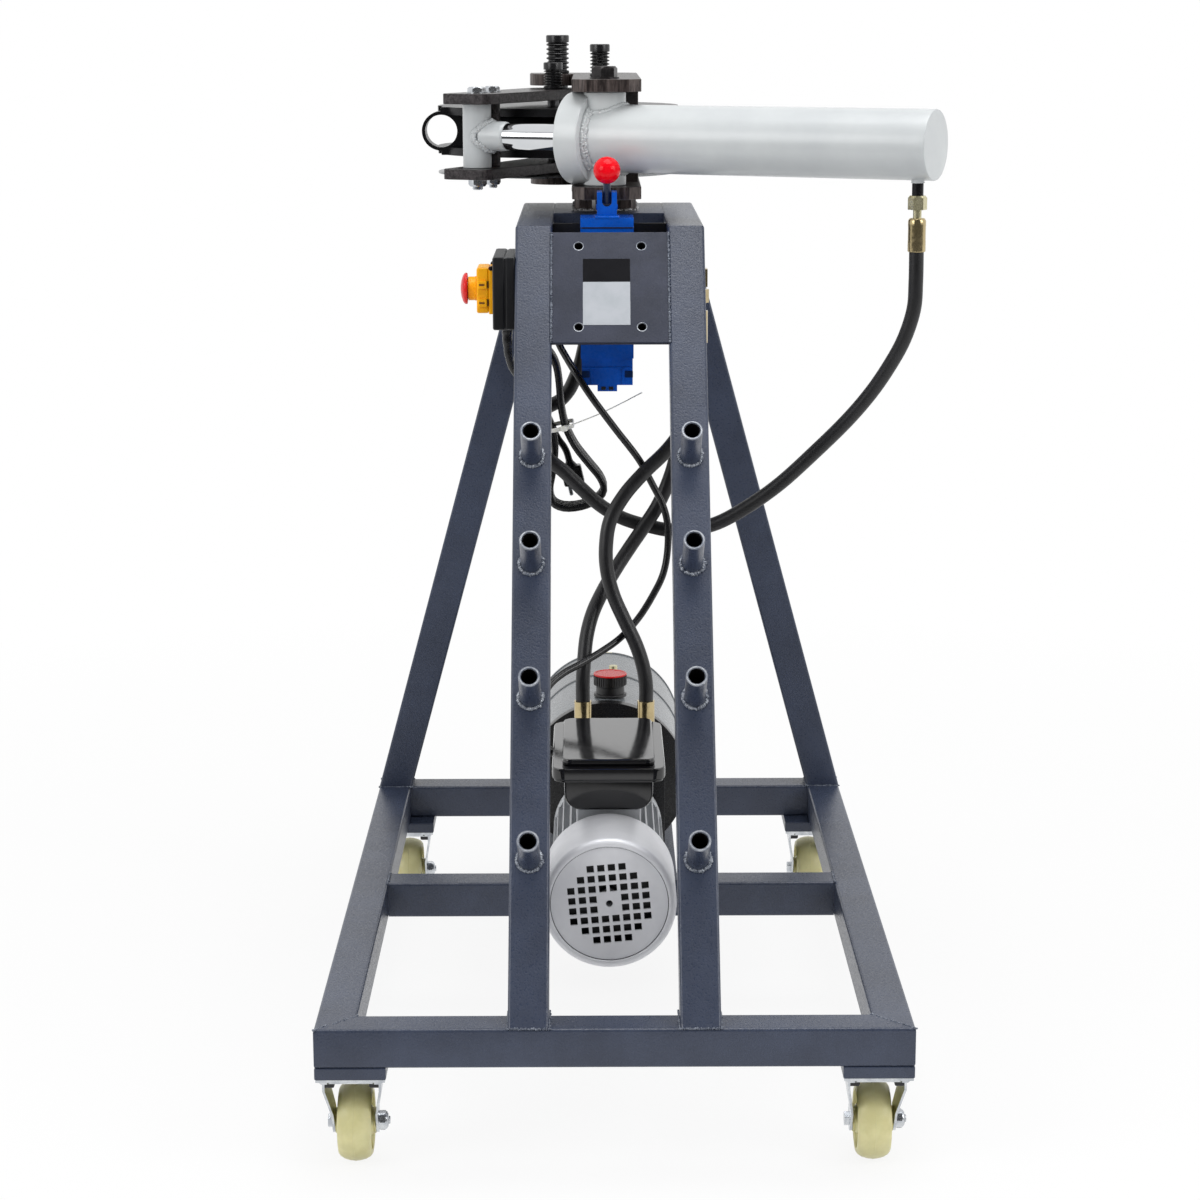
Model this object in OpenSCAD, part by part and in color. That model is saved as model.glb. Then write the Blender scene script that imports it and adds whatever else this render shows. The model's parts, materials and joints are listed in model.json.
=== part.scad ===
// Hydraulic pipe bender on a wheeled A-frame, in millimetres.
// X runs to the right, Y from the front to the back, Z up. The origin is on the floor
// under the middle of the wheeled base.

/* [Base frame] */
// Overall width of the wheeled base
base_w = 586; // [560:2:640]
// Overall depth of the wheeled base
base_d = 900; // [890:2:940]
// Outside size of every square tube
tube = 40; // [38:0.5:41]
// Wall of every square tube
tube_wall = 3; // [2:0.5:4]
// Distance from the front of the base to the middle beam
mid_beam_d = 460; // [450:2:468]

/* [Casters] */
// Floor to the top of the swivel plate
caster_h = 106; // [102:0.5:110]
// Wheel diameter
wheel_d = 80; // [74:0.5:82]
// Tread width of a wheel
wheel_w = 34; // [28:1:36]
// Distance of the axle behind the swivel axis
caster_trail = 25; // [20:1:28]
// Side of the welded pad above each caster
pad_w = 70; // [69:0.5:76]
// Thickness of the welded pad
pad_t = 12; // [8:0.5:14]
// Kingpin diameter
kingpin_d = 12; // [8:0.5:14]
// Axle diameter
axle_d = 8; // [6:0.5:10]

/* [A-frame] */
// Height of the deck's top face above the base rails
deck_rise = 736; // [730:1:744]
// Distance from the front of the base to the deck's front edge
post_run = 522; // [516:1:528]
// Outside width of the pair of front posts
post_pair_w = 208; // [204:1:214]
// Length of the open notch at the front of the deck
notch_len = 197; // [190:1:204]
// Thickness of the deck plate
deck_plate_t = 12; // [8:0.5:14]
// Length of the storage pegs
peg_len = 60; // [40:1:75]
// Outside diameter of the storage pegs
peg_d = 22; // [20:0.5:25]
// Bore of the storage pegs
peg_bore = 16.6; // [12:0.2:17]
// Height of the front panel along the posts
panel_h = 138; // [132:1:144]
// Thickness of the front panel
panel_t = 5; // [3:0.5:6]
// Diameter of the holes in the front panel
panel_hole_d = 11; // [6:0.5:12]

/* [Bending head] */
// Height of the pedestal on the deck
pedestal_h = 24; // [22:0.5:27]
// Thickness of the two head plates
plate_t = 14; // [12:0.5:16]
// Clear height between the two head plates
head_gap = 105; // [104:0.5:108]
// Distance of the die pivot to the left of the middle
pivot_x = -61; // [-63:0.5:-59]
// Distance from the deck's front edge to the die pivot
pivot_run = 377; // [374:0.5:380]
// Distance of the ram trunnion to the left of the middle
trunnion_x = -5; // [-7:0.5:-3]
// Distance from the deck's front edge to the ram trunnion
trunnion_run = 102; // [100:0.5:104]
// Centre distance of the swing arms, pivot to rod end
arm_len = 220; // [218:0.5:222]
// Centre distance trunnion to rod end with the ram drawn in
ram_len = 165; // [164:0.5:168]
// Thickness of each swing arm
arm_t = 12; // [10:0.5:13]
// Clear height between the two swing arms
arm_gap = 73.5; // [70:0.5:74]
// Half width of the swing arms at the rod end
arm_half_w = 31; // [27:0.5:33]
// Diameter of the main pin
main_pin_d = 25; // [22:0.5:27]
// Diameter of the drive pin
drive_pin_d = 14; // [10:0.5:15]
// Diameter of the stop pin
stop_pin_d = 16; // [12:0.5:18]
// Outside diameter of the pipe that the die takes
pipe_d = 38; // [32:0.5:39]
// Bend radius at the middle of the pipe
bend_r = 140; // [138:0.5:142]
// Height of the die
die_h = 57; // [54:0.5:60]
// Outside diameter of the die
die_d = 294; // [290:1:298]
// Diameter of the angle disc
disc_d = 294; // [280:1:310]
// Thickness of the angle disc
disc_t = 2; // [1:0.5:2.5]

/* [Hydraulic ram] */
// Outside diameter of the ram tube
ram_d = 76; // [73:0.5:78]
// Bore of the ram tube
ram_bore = 63; // [60:0.5:65]
// Length of the tube behind the trunnion
ram_tail = 396; // [390:1:420]
// Outside diameter of the welded collar
collar_d = 104; // [96:0.5:104]
// Width of the welded collar
collar_w = 30; // [24:0.5:32]
// Diameter of the trunnion bolts
trunnion_d = 20; // [16:0.5:22]
// Rod diameter
rod_d = 30; // [26:0.5:32]
// Length of the piston
piston_l = 40; // [30:0.5:44]
// Outside diameter of the rod-end bush
bush_d = 33; // [32.5:0.5:36]
// Diameter of the rod-end bolt
rod_bolt_d = 12; // [10:0.5:12]
// Wire of the return spring
spring_wire = 5; // [4:0.5:6]
// Turns of the return spring
spring_turns = 16; // [10:1:20]

/* [Valve and switch] */
// Width of the valve body
valve_w = 59; // [54:0.5:64]
// Depth of the valve body
valve_d = 60; // [56:0.5:64]
// Diameter of the valve spool
spool_d = 16; // [12:0.5:18]
// Diameter of the lever knob
knob_d = 30; // [26:0.5:32]
// Length of the lever, pivot to knob centre
lever_len = 42; // [40:0.5:48]
// Height of the switch box
switch_h = 80; // [72:1:84]
// Depth of the switch box, front to back
switch_l = 120; // [110:1:126]
// Thickness of the switch box
switch_t = 25; // [22:0.5:28]
// Diameter of the mushroom button
button_d = 38; // [32:0.5:40]

/* [Power unit] */
// Height of the motor axis above the rails
motor_rise = 80.5; // [78:0.5:86]
// Outside diameter of the fan cowl
cowl_d = 137; // [130:0.5:142]
// Length of the fan cowl
cowl_l = 90; // [80:1:96]
// Outside diameter over the motor's cooling fins
motor_d = 120; // [116:0.5:126]
// Length of the motor body
motor_l = 190; // [185:1:195]
// Shaft diameter
shaft_d = 20; // [16:0.5:24]
// Outside diameter of the oil tank
tank_d = 180; // [170:1:182]
// Length of the oil tank
tank_l = 252; // [230:1:262]
// Diameter of the filler cap
cap_d = 39; // [37:0.5:44]
// Height of the filler cap
cap_h = 27; // [22:0.5:34]
// Side of a square hole in the fan grille
grille_hole = 7.4; // [6:0.1:8.5]
// Pitch of the holes in the fan grille
grille_pitch = 10.8; // [10:0.1:11.2]

/* [Hoses and cords] */
// Outside diameter of the hydraulic hoses
hose_d = 16; // [14:0.5:17]
// Diameter of the motor cable
cable_d = 8; // [6:0.5:9]
// Diameter of the power cord
cord_d = 8; // [6:0.5:8.5]

/* [Hidden] */
$fn = 48;

frame_paint = [0.23, 0.25, 0.30];
head_black = [0.14, 0.12, 0.12];
ram_paint = [0.76, 0.79, 0.77];
zinc = [0.74, 0.75, 0.76];
brass_zinc = [0.80, 0.68, 0.38];
rubber = [0.09, 0.09, 0.10];
valve_blue = [0.05, 0.24, 0.60];

run_fit = 0.05;
seat_gap = 0.3;
eps = 0.5;

front_y = -base_d / 2;
rear_y = base_d / 2;
rail_top = caster_h + pad_t + tube;
deck_top = rail_top + deck_rise;
mid_beam_y = front_y + mid_beam_d;

lean = atan(post_run / deck_rise);
post_foot = tube / cos(lean);
post_x = post_pair_w / 2 - tube / 2;
post_gap = post_pair_w - 2 * tube;
deck_front_y = front_y + post_run;
pivot_y = deck_front_y + pivot_run;
trunnion_y = deck_front_y + trunnion_run;
mitre_y = front_y + post_foot + (deck_rise - tube) * tan(lean);
notch_y = deck_front_y + notch_len;
leg_lean = atan((base_w / 2 - post_pair_w / 2) / (deck_rise - tube));
leg_foot = tube / cos(leg_lean);
post_len = deck_rise / cos(lean);
peg_places = [172, 345, 495, 620];
panel_bottom = post_len - panel_h - 8;
panel_hole_x = 68.7;
panel_hole_h = 101;

caster_x = base_w / 2 - pad_w / 2;
caster_y = base_d / 2 - pad_w / 2;
swivel_plate_w = pad_w - 2;
swivel_plate_t = 3;
race_t = 2.7;
fork_t = 2.5;
crown_t = 3;
crown_w = 58;
crown_top = caster_h - swivel_plate_t - race_t - seat_gap;
axle_z = wheel_d / 2;
fork_gap = wheel_w + 7;

bend_z = deck_top + pedestal_h + plate_t + head_gap / 2;
lower_plate_z = deck_top + pedestal_h;
upper_plate_z = lower_plate_z + plate_t + head_gap;
pivot_trunnion = norm([trunnion_x - pivot_x, trunnion_y - pivot_y]);
arm_corner = acos((arm_len ^ 2 + pivot_trunnion ^ 2 - ram_len ^ 2) / (2 * arm_len * pivot_trunnion));
arm_dir = atan2(trunnion_y - pivot_y, trunnion_x - pivot_x) - arm_corner;
rod_end_x = pivot_x + arm_len * cos(arm_dir);
rod_end_y = pivot_y + arm_len * sin(arm_dir);
ram_dir = atan2(trunnion_y - rod_end_y, trunnion_x - rod_end_x);
plate_left = trunnion_x - 37;
plate_right = trunnion_x + 41;
plate_front = trunnion_y - 39;
plate_rear = pivot_y + 46;
ear_r = 34;
stop_pin_x = trunnion_x - 5;
stop_pin_y = trunnion_y + 96;
drive_pin_r = 49;
drive_pin_a = arm_dir + 18.5;
spacer_back = 40;
spacer_d = 18;
spacer_bolt_d = 10;
pivot_boss_r = 42;
rod_bush_bore = 24.4;
grip_d = 28;
grip_h = 46;
small_grip_d = 23;
small_grip_h = 32;
hook_len = 40;
hook_wall = 4;
hook_y = pivot_y - 64;
groove_r = pipe_d / 2 + 0.3;

collar_left = 40;
boss_d = 48;
cap_t = 12;
port_u = ram_tail - 20;
piston_right = port_u - 6;
gland_l = 36;
neck_l = 26;
neck_d = 35;
rod_start = -ram_len + bush_d / 2 + neck_l - 2;
port_x = trunnion_x + port_u * cos(ram_dir);
port_y = trunnion_y + port_u * sin(ram_dir);
nipple_l = 16;
port_nut_h = 15;
port_neck_l = 9;
ferrule_l = 36;
ferrule_d = 19.5;
port_bottom = bend_z - ram_d / 2 - nipple_l - port_nut_h - port_neck_l - ferrule_l + 0.5;

valve_x = -3;
valve_front = deck_front_y + 18;
valve_back = valve_front + valve_d;
valve_top = deck_top - 3;
valve_cap_z = valve_top - 146;
valve_bottom = valve_top - 176;
tip_d = 8.6;
flange_t = 10;
clevis_w = 22;
clevis_l = 31;
clevis_z = valve_top + flange_t;
clevis_h = 28;
clevis_wall = 4.2;
notch_rise = 17.5;
lever_y = valve_front + 18;
lever_z = clevis_z + 11;
lever_hub_d = 13;
slot_front = lever_y - lever_hub_d / 2 - seat_gap;
clevis_front = slot_front - clevis_wall;
lever_pin_d = 6;
lever_lean = 12;
spool_y = valve_front + valve_d / 2;
slot_w = 10.6;
side_port_z = 761;
side_port_front = [100, deck_front_y + 33];
side_port_rear = [79, deck_front_y + 53];
rear_port = [-26, valve_back + 28, 784];
valve_bracket_h = 26;

switch_x = -post_pair_w / 2;
switch_y = deck_front_y - 27;
switch_z = 782;
estop_y = switch_y + 65;
estop_z = switch_z + 40;
cover_w = 56;
cover_h = 50;
cover_t = 19;
estop_face = switch_x - switch_t;
hinge_barrel_d = 5;
hinge_pin_d = 2.4;
hinge_x = estop_face - seat_gap - hinge_barrel_d / 2;
hinge_z = estop_z + cover_h / 2;

unit_x = -4;
motor_z = rail_top + motor_rise;
cowl_y = front_y + 140;
motor_y = cowl_y + cowl_l;
core_start = 40;
core_l = 110;
core_d = motor_d - 28;
rotor_d = core_d - 30;
adapter_l = 20;
shaft_y = cowl_y + 22;
shaft_engage = 40;
block_y = motor_y + motor_l + adapter_l;
block_l = 135;
block_w = 112;
block_left = unit_x - 48;
tank_y = block_y + block_l;
tray_t = 3;
tank_z = rail_top + tray_t + tank_d / 2;
pump_port_x = 35.5;
pump_port_y = block_y + 40;
block_top = motor_z + 60;
saddle_places = [70, 190];
band_places = [133, tank_l - 6];
cap_y = tank_y + 30;
neck_d_out = 32;

// Hose and cord routes. The end points are where the fittings are. The points between them
// are drawn for a base whose front is this far out, and move with the front.
drawn_front = 450;
function from_front(route) = [for (p = route) [p.x, p.y + front_y + drawn_front, p.z]];
gland_d = 14;
gland_h = 12;
cable_gland_y = switch_y + 93;
cable_gland_z = switch_z + 19;
lead_gland_x = switch_x - 12;
lead_gland_y = switch_y + 95;
lead_gland_z = switch_z - gland_h;
motor_gland = [-58, motor_y + 146, 335];
pump_ferrule_top = 366;
cylinder_hose_route = concat(
    [[port_x, port_y, port_bottom], [port_x, port_y, 838]],
    from_front([[329, 7, 808], [320, 14, 775], [306, 24, 745], [287, 36, 713], [262, 49, 680],
        [229, 66, 643], [192, 82, 605], [156, 95, 576], [122, 106, 555], [92, 115, 546],
        [67, 123, 544], [46, 129, 547], [23, 131, 553], [5, 131, 561], [-14, 129, 574],
        [-33, 127, 592], [-52, 126, 611], [-68, 126, 624], [-83, 132, 635], [-95, 143, 645],
        [-102, 160, 653], [-102, 178, 659], [-95, 193, 664], [-83, 204, 669], [-70, 210, 675],
        [-57, 211, 682], [-47, 207, 694], [-40, 200, 709], [-34, 192, 726], [-30, 185, 742],
        [-27, 180, 756]]),
    [[rear_port.x, rear_port.y, 768], rear_port]
);
pressure_hose_route = concat(
    [for (z = [pump_ferrule_top, 384]) [unit_x + 8 + pump_port_x, pump_port_y, z]],
    from_front([[36, 33, 406], [28, 37, 430], [15, 42, 457], [3, 47, 484], [-4, 51, 512],
        [-5, 56, 539], [0, 62, 567], [16, 70, 594], [39, 78, 619], [62, 86, 640],
        [80, 94, 662], [93, 100, 688], [99, 104, 717]]),
    [for (z = [744, side_port_z]) [side_port_front.x, side_port_front.y, z]]
);
return_hose_route = concat(
    [for (z = [pump_ferrule_top, 387]) [unit_x + 8 - pump_port_x, pump_port_y, z]],
    from_front([[-30, 36, 411], [-27, 47, 437], [-20, 60, 461], [-8, 74, 484], [7, 88, 507],
        [22, 99, 528], [38, 107, 550], [53, 113, 572], [65, 118, 597], [74, 122, 625],
        [78, 124, 657], [79, 125, 692]]),
    [for (z = [744, side_port_z]) [side_port_rear.x, side_port_rear.y, z]]
);
motor_cable_route = concat(
    [for (reach = [12, 22]) [switch_x + reach, cable_gland_y, cable_gland_z]],
    from_front([[-74, 134, 796], [-67, 126, 784], [-61, 117, 770], [-56, 109, 757],
        [-48, 99, 744], [-38, 87, 729], [-20, 82, 702], [6, 88, 666], [32, 94, 631],
        [47, 96, 603], [59, 96, 579], [65, 94, 556], [65, 90, 527], [60, 84, 501],
        [49, 76, 479], [32, 65, 454], [11, 50, 434], [-12, 34, 421], [-35, 18, 411],
        [-53, 5, 404], [-68, -9, 394], [-78, -26, 379], [-82, -44, 362], [-80, -60, 347],
        [-74, -71, 338], [-67, -74, 335]]),
    [motor_gland]
);
hank_x = -55;
hank_y = valve_back;
hank_z = 658;
hank_half = 95;
hank_waist = 8;
hank_bulge = 56;
hank_step = 9.2;
hank_tilt = 13;
hank_sweep = 16;
hank_start = 150;
hank_end = 4 * 360 + 180;
hank_tail = [[-10.5, -9], [-8, -18], [-4.5, -26], [-2.5, -34], [-2, -43]];
hank_course = (hank_point(hank_start + 1) - hank_point(hank_start))
    / norm(hank_point(hank_start + 1) - hank_point(hank_start));
cord_lead_route = concat(
    [for (drop = [0, 13]) [lead_gland_x, lead_gland_y, lead_gland_z - drop]],
    from_front([[-115, 141, 742], [-111, 144, 728], [-103, 148, 716]]),
    [hank_point(hank_start) - 9 * hank_course, hank_point(hank_start)]
);

// One square tube on the Z axis, its lower end at the origin.
module square_tube(length) {
    translate([-tube / 2, -tube / 2, 0]) difference() {
        cube([tube, tube, length]);
        translate([tube_wall, tube_wall, -eps])
            cube([tube - 2 * tube_wall, tube - 2 * tube_wall, length + 2 * eps]);
    }
}

// One mitred rail of the base ring, outer length along X, outer face at y = 0.
module mitred_rail(length) {
    difference() {
        linear_extrude(tube)
            polygon([
                [-length / 2, 0], [length / 2, 0], [length / 2 - tube, tube], [-length / 2 + tube, tube]
            ]);
        translate([-length / 2 - eps, tube_wall, tube_wall])
            cube([length + 2 * eps, tube - 2 * tube_wall, tube - 2 * tube_wall]);
    }
}

// A hexagon bar across the flats.
module hexagon(flats, height) {
    cylinder(d = flats / cos(30), h = height, $fn = 6);
}

// An outline in Y and Z, given a width along X.
module side_extrude(width) {
    translate([-width / 2, 0, 0]) rotate([90, 0, 90]) linear_extrude(width) children();
}

// Where a piece sits on the front face of the leaning posts.
module on_posts(x, along) {
    translate([x, front_y, rail_top]) rotate([-lean, 0, 0]) translate([0, 0, along]) children();
}

// Where the ram lies: its axis becomes X, with the trunnion at the origin.
module on_ram() {
    translate([trunnion_x, trunnion_y, bend_z]) rotate([0, 0, ram_dir]) children();
}

// A round bar along the ram from one place on its axis to another.
module ram_bar(from, to, diameter) {
    translate([from, 0, 0]) rotate([0, 90, 0]) cylinder(d = diameter, h = to - from, $fn = 64);
}

// Where the swing arms lie: X runs from the die pivot to the rod end.
module on_arm() {
    translate([pivot_x, pivot_y, bend_z]) rotate([0, 0, arm_dir]) children();
}

// A swept tube through a list of points, square at both ends.
function tangent(p, i) =
    let (a = p[max(i - 1, 0)], b = p[min(i + 1, len(p) - 1)]) (b - a) / norm(b - a);
function sweep_ring(c, t, r, n) =
    let (u = cross(t, [0, 1, 0]), a = u / norm(u), b = cross(t, a))
    [for (k = [0:n - 1]) c + r * cos(360 * k / n) * a + r * sin(360 * k / n) * b];
module swept(p, r, n) {
    rings = [for (i = [0:len(p) - 1]) each sweep_ring(p[i], tangent(p, i), r, n)];
    last = (len(p) - 1) * n;
    sides = [for (i = [0:len(p) - 2], k = [0:n - 1], h = [0, 1])
        let (a = i * n + k, b = i * n + (k + 1) % n)
        h == 0 ? [a, a + n, b] : [b, a + n, b + n]];
    ends = [for (k = [1:n - 2], h = [0, 1])
        h == 0 ? [0, k, k + 1] : [last, last + k + 1, last + k]];
    polyhedron(points = rings, faces = concat(sides, ends));
}

module base_frame() {
    color(frame_paint) {
        for (side = [0, 180])
            rotate([0, 0, side]) translate([0, front_y, rail_top - tube]) mitred_rail(base_w);
        for (side = [90, 270])
            rotate([0, 0, side]) translate([0, -base_w / 2, rail_top - tube]) mitred_rail(base_d);
        translate([-base_w / 2 + tube, mid_beam_y + tube / 2, rail_top - tube / 2])
            rotate([0, 90, 0]) square_tube(base_w - 2 * tube);
        for (sx = [-1, 1], sy = [-1, 1])
            translate([sx * caster_x - pad_w / 2, sy * caster_y - pad_w / 2, caster_h])
                cube([pad_w, pad_w, pad_t]);
        translate([-75, mid_beam_y, rail_top]) cube([150, rear_y - mid_beam_y, tray_t]);
        for (y = saddle_places) tank_saddle(tank_y + y);
    }
}

module tank_saddle(y) {
    difference() {
        translate([unit_x - 50, y, rail_top + tray_t]) cube([100, 24, 16]);
        translate([unit_x, y - eps, tank_z]) rotate([-90, 0, 0]) cylinder(d = tank_d, h = 25, $fn = 96);
    }
}

module caster_plates() {
    color(zinc) for (sx = [-1, 1], sy = [-1, 1])
        translate([sx * caster_x, sy * caster_y, 0]) {
            translate([-swivel_plate_w / 2, -swivel_plate_w / 2, caster_h - swivel_plate_t])
                cube([swivel_plate_w, swivel_plate_w, swivel_plate_t]);
            translate([0, 0, crown_top + seat_gap]) cylinder(d = 44, h = race_t);
            translate([0, 0, crown_top - crown_t - 1]) cylinder(d = kingpin_d, h = crown_t + 2 + seat_gap);
            translate([0, 0, crown_top - crown_t - seat_gap - 3]) cylinder(d = kingpin_d + 8, h = 3);
            for (bx = [-1, 1], by = [-1, 1])
                translate([bx * 26, by * 26, caster_h - swivel_plate_t - 3]) hexagon(10, 3);
        }
}

// A stamped fork with its axle bolt and nut, about its own swivel axis.
module fork() {
    leg_x = fork_gap / 2;
    flare = crown_w / 2 - fork_t;
    color(zinc) {
        difference() {
            union() {
                translate([-crown_w / 2, -22, crown_top - crown_t]) cube([crown_w, 44, crown_t]);
                for (s = [-1, 1]) intersection() {
                    translate([0, 60, 0]) rotate([90, 0, 0]) linear_extrude(120)
                        polygon([[s * leg_x, axle_z - 13], [s * (leg_x + fork_t), axle_z - 13],
                            [s * (leg_x + fork_t), axle_z + 14], [s * (flare + fork_t), crown_top - 12],
                            [s * (flare + fork_t), crown_top - 1], [s * flare, crown_top - 1],
                            [s * flare, crown_top - 12], [s * leg_x, axle_z + 14]]);
                    side_extrude(2 * crown_w) union() {
                        translate([caster_trail, axle_z]) circle(r = 12);
                        polygon([[caster_trail - 11.6, axle_z - 3], [-20, crown_top - 12], [-20, crown_top],
                            [22, crown_top], [22, crown_top - 12], [caster_trail + 11.6, axle_z - 3]]);
                    }
                }
            }
            translate([0, 0, crown_top - crown_t - 1])
                cylinder(d = kingpin_d + 2 * run_fit, h = crown_t + 2);
            translate([-crown_w, caster_trail, axle_z]) rotate([0, 90, 0])
                cylinder(d = axle_d, h = 2 * crown_w);
        }
        translate([-leg_x - fork_t - 5, caster_trail, axle_z]) rotate([0, 90, 0]) {
            hexagon(13, 5);
            cylinder(d = axle_d, h = 2 * (leg_x + fork_t) + 14);
            translate([0, 0, 2 * (leg_x + fork_t) + 5]) hexagon(13, 6.5);
        }
    }
}

module wheel() {
    color([0.88, 0.85, 0.66]) translate([0, caster_trail, axle_z]) rotate([0, 90, 0]) difference() {
        union() {
            rotate_extrude($fn = 96) intersection() {
                translate([0, -wheel_w / 2]) square([wheel_d / 2, wheel_w]);
                translate([wheel_d / 2 - wheel_w * 0.8, 0]) circle(r = wheel_w * 0.8);
            }
            translate([0, 0, -fork_gap / 2 + seat_gap]) cylinder(d = 26, h = fork_gap - 2 * seat_gap);
        }
        for (z = [-wheel_w, wheel_w / 2 - 5]) translate([0, 0, z]) difference() {
            cylinder(d = wheel_d - 22, h = wheel_w / 2 + 5);
            translate([0, 0, -1]) cylinder(d = 30, h = wheel_w);
        }
        translate([0, 0, -fork_gap]) cylinder(d = axle_d + 2 * run_fit, h = 2 * fork_gap);
    }
}

module fork_front_left() { translate([-caster_x, -caster_y, 0]) fork(); }
module fork_front_right() { translate([caster_x, -caster_y, 0]) fork(); }
module fork_rear_left() { translate([-caster_x, caster_y, 0]) fork(); }
module fork_rear_right() { translate([caster_x, caster_y, 0]) fork(); }
module wheel_front_left() { translate([-caster_x, -caster_y, 0]) wheel(); }
module wheel_front_right() { translate([caster_x, -caster_y, 0]) wheel(); }
module wheel_rear_left() { translate([-caster_x, caster_y, 0]) wheel(); }
module wheel_rear_right() { translate([caster_x, caster_y, 0]) wheel(); }

module front_posts() {
    color(frame_paint) for (s = [-1, 1]) difference() {
        translate([s * post_x, 0, 0]) side_extrude(tube)
            polygon([[front_y, rail_top], [front_y + post_foot, rail_top],
                [mitre_y, deck_top - tube], [deck_front_y, deck_top]]);
        on_posts(s * post_x, -tube)
            translate([-tube / 2 + tube_wall, tube_wall, 0])
                cube([tube - 2 * tube_wall, tube - 2 * tube_wall, post_len + 2 * tube]);
    }
}

module storage_pegs() {
    color(frame_paint) for (s = [-1, 1], along = peg_places)
        on_posts(s * post_x, along) rotate([90, 0, 0]) difference() {
            cylinder(d = peg_d, h = peg_len);
            translate([0, 0, 3]) cylinder(d = peg_bore, h = peg_len);
        }
}

module rear_legs() {
    color(frame_paint) for (s = [-1, 1]) intersection() {
        translate([0, rear_y, 0]) rotate([90, 0, 0]) linear_extrude(tube)
            polygon([[s * base_w / 2, rail_top], [s * (base_w / 2 - leg_foot), rail_top],
                [s * (post_pair_w / 2 - leg_foot), deck_top - tube],
                [s * post_pair_w / 2, deck_top - tube]]);
        translate([s * (base_w / 2 - leg_foot / 2), rear_y - tube / 2, rail_top])
            rotate([0, -s * leg_lean, 0]) translate([0, 0, -tube]) square_tube(deck_rise + tube);
    }
}

module deck_frame() {
    color(frame_paint) {
        for (s = [-1, 1]) difference() {
            translate([s * post_x, 0, 0]) side_extrude(tube)
                polygon([[deck_front_y, deck_top], [rear_y, deck_top],
                    [rear_y, deck_top - tube], [mitre_y, deck_top - tube]]);
            translate([s * post_x - tube / 2 + tube_wall, deck_front_y, deck_top - tube + tube_wall])
                cube([tube - 2 * tube_wall, rear_y - tube_wall - deck_front_y, tube - 2 * tube_wall]);
        }
        translate([-post_gap / 2, notch_y, deck_top - deck_plate_t])
            cube([post_gap, rear_y - notch_y, deck_plate_t]);
        translate([-post_gap / 2, valve_back, valve_top - valve_bracket_h])
            cube([post_gap, 6, valve_bracket_h]);
    }
}

module front_panel() {
    color(frame_paint) on_posts(0, panel_bottom) difference() {
        translate([-post_gap / 2, 0, 0]) cube([post_gap, panel_t, panel_h]);
        for (sx = [-1, 1], sz = [-1, 1])
            translate([sx * panel_hole_x / 2, -eps, panel_h / 2 + 1 + sz * panel_hole_h / 2])
                rotate([-90, 0, 0]) cylinder(d = panel_hole_d, h = panel_t + 2 * eps);
    }
}

module head_spacers() {
    color(head_black) {
        translate([trunnion_x - 35.5, notch_y + 41, deck_top]) cube([73, 130, pedestal_h]);
        translate([plate_right - 30, trunnion_y + 70, lower_plate_z + plate_t]) cube([28, 56, head_gap]);
    }
}

// The shape that both head plates are cut to.
module plate_outline() {
    clip = 14;
    polygon([[plate_left, plate_front + clip], [plate_left + clip, plate_front],
        [plate_right - clip, plate_front], [plate_right, plate_front + clip],
        [plate_right, plate_rear - clip], [plate_right - clip, plate_rear],
        [plate_left, plate_rear]]);
    translate([pivot_x, pivot_y]) circle(r = ear_r);
    translate([pivot_x - ear_r, pivot_y]) square([plate_left - pivot_x + ear_r + 1, plate_rear - pivot_y]);
}

module head_plate(z) {
    translate([0, 0, z]) difference() {
        linear_extrude(plate_t) plate_outline();
        translate([pivot_x, pivot_y, -eps]) cylinder(d = main_pin_d + 2 * run_fit, h = plate_t + 1);
        translate([trunnion_x, trunnion_y, -eps]) cylinder(d = trunnion_d, h = plate_t + 1);
        translate([stop_pin_x, stop_pin_y, -eps]) cylinder(d = stop_pin_d + 2 * run_fit, h = plate_t + 1);
    }
}

module lower_plate() { color(head_black) head_plate(lower_plate_z); }
module upper_plate() { color(head_black) head_plate(upper_plate_z); }

module angle_disc() {
    disc_cut = disc_d / 2 - 19;
    color(zinc) translate([pivot_x, pivot_y, lower_plate_z + plate_t]) difference() {
        cylinder(d = disc_d, h = disc_t, $fn = 128);
        translate([0, 0, -eps]) cylinder(d = main_pin_d + 1, h = disc_t + 1);
        translate([stop_pin_x - pivot_x - 60, -disc_d, -eps]) cube([disc_d, disc_d - disc_cut, disc_t + 1]);
    }
}

module trunnion_bolts() {
    shank = plate_t + (head_gap - ram_d) / 2 - 1;
    color(head_black) translate([trunnion_x, trunnion_y, bend_z]) for (s = [0, 180])
        rotate([s, 0, 0]) translate([0, 0, ram_d / 2 + 1]) {
            cylinder(d = trunnion_d, h = shank);
            translate([0, 0, shank]) hexagon(26, 14);
        }
}

// A pull pin with a ribbed grip, the grip's seat at the origin.
module pull_pin(pin_d, pin_l, grip_dia, height) {
    translate([0, 0, -pin_l]) cylinder(d = pin_d, h = pin_l + 1);
    rotate_extrude() union() {
        square([grip_dia / 2 - 2.5, height]);
        for (i = [0:5])
            translate([0, 3 + i * (height - 12) / 6]) square([grip_dia / 2, (height - 12) / 12]);
        translate([0, height - 9]) square([grip_dia / 2, 9]);
    }
}

module main_pin() {
    color(rubber) translate([pivot_x, pivot_y, upper_plate_z + plate_t])
        pull_pin(main_pin_d, head_gap + 2 * plate_t, grip_d, grip_h);
}

module drive_pin() {
    color(rubber) on_arm() rotate([0, 0, drive_pin_a - arm_dir])
        translate([drive_pin_r, 0, arm_gap / 2 + arm_t])
            pull_pin(drive_pin_d, arm_t + 40, small_grip_d, small_grip_h);
}

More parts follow.
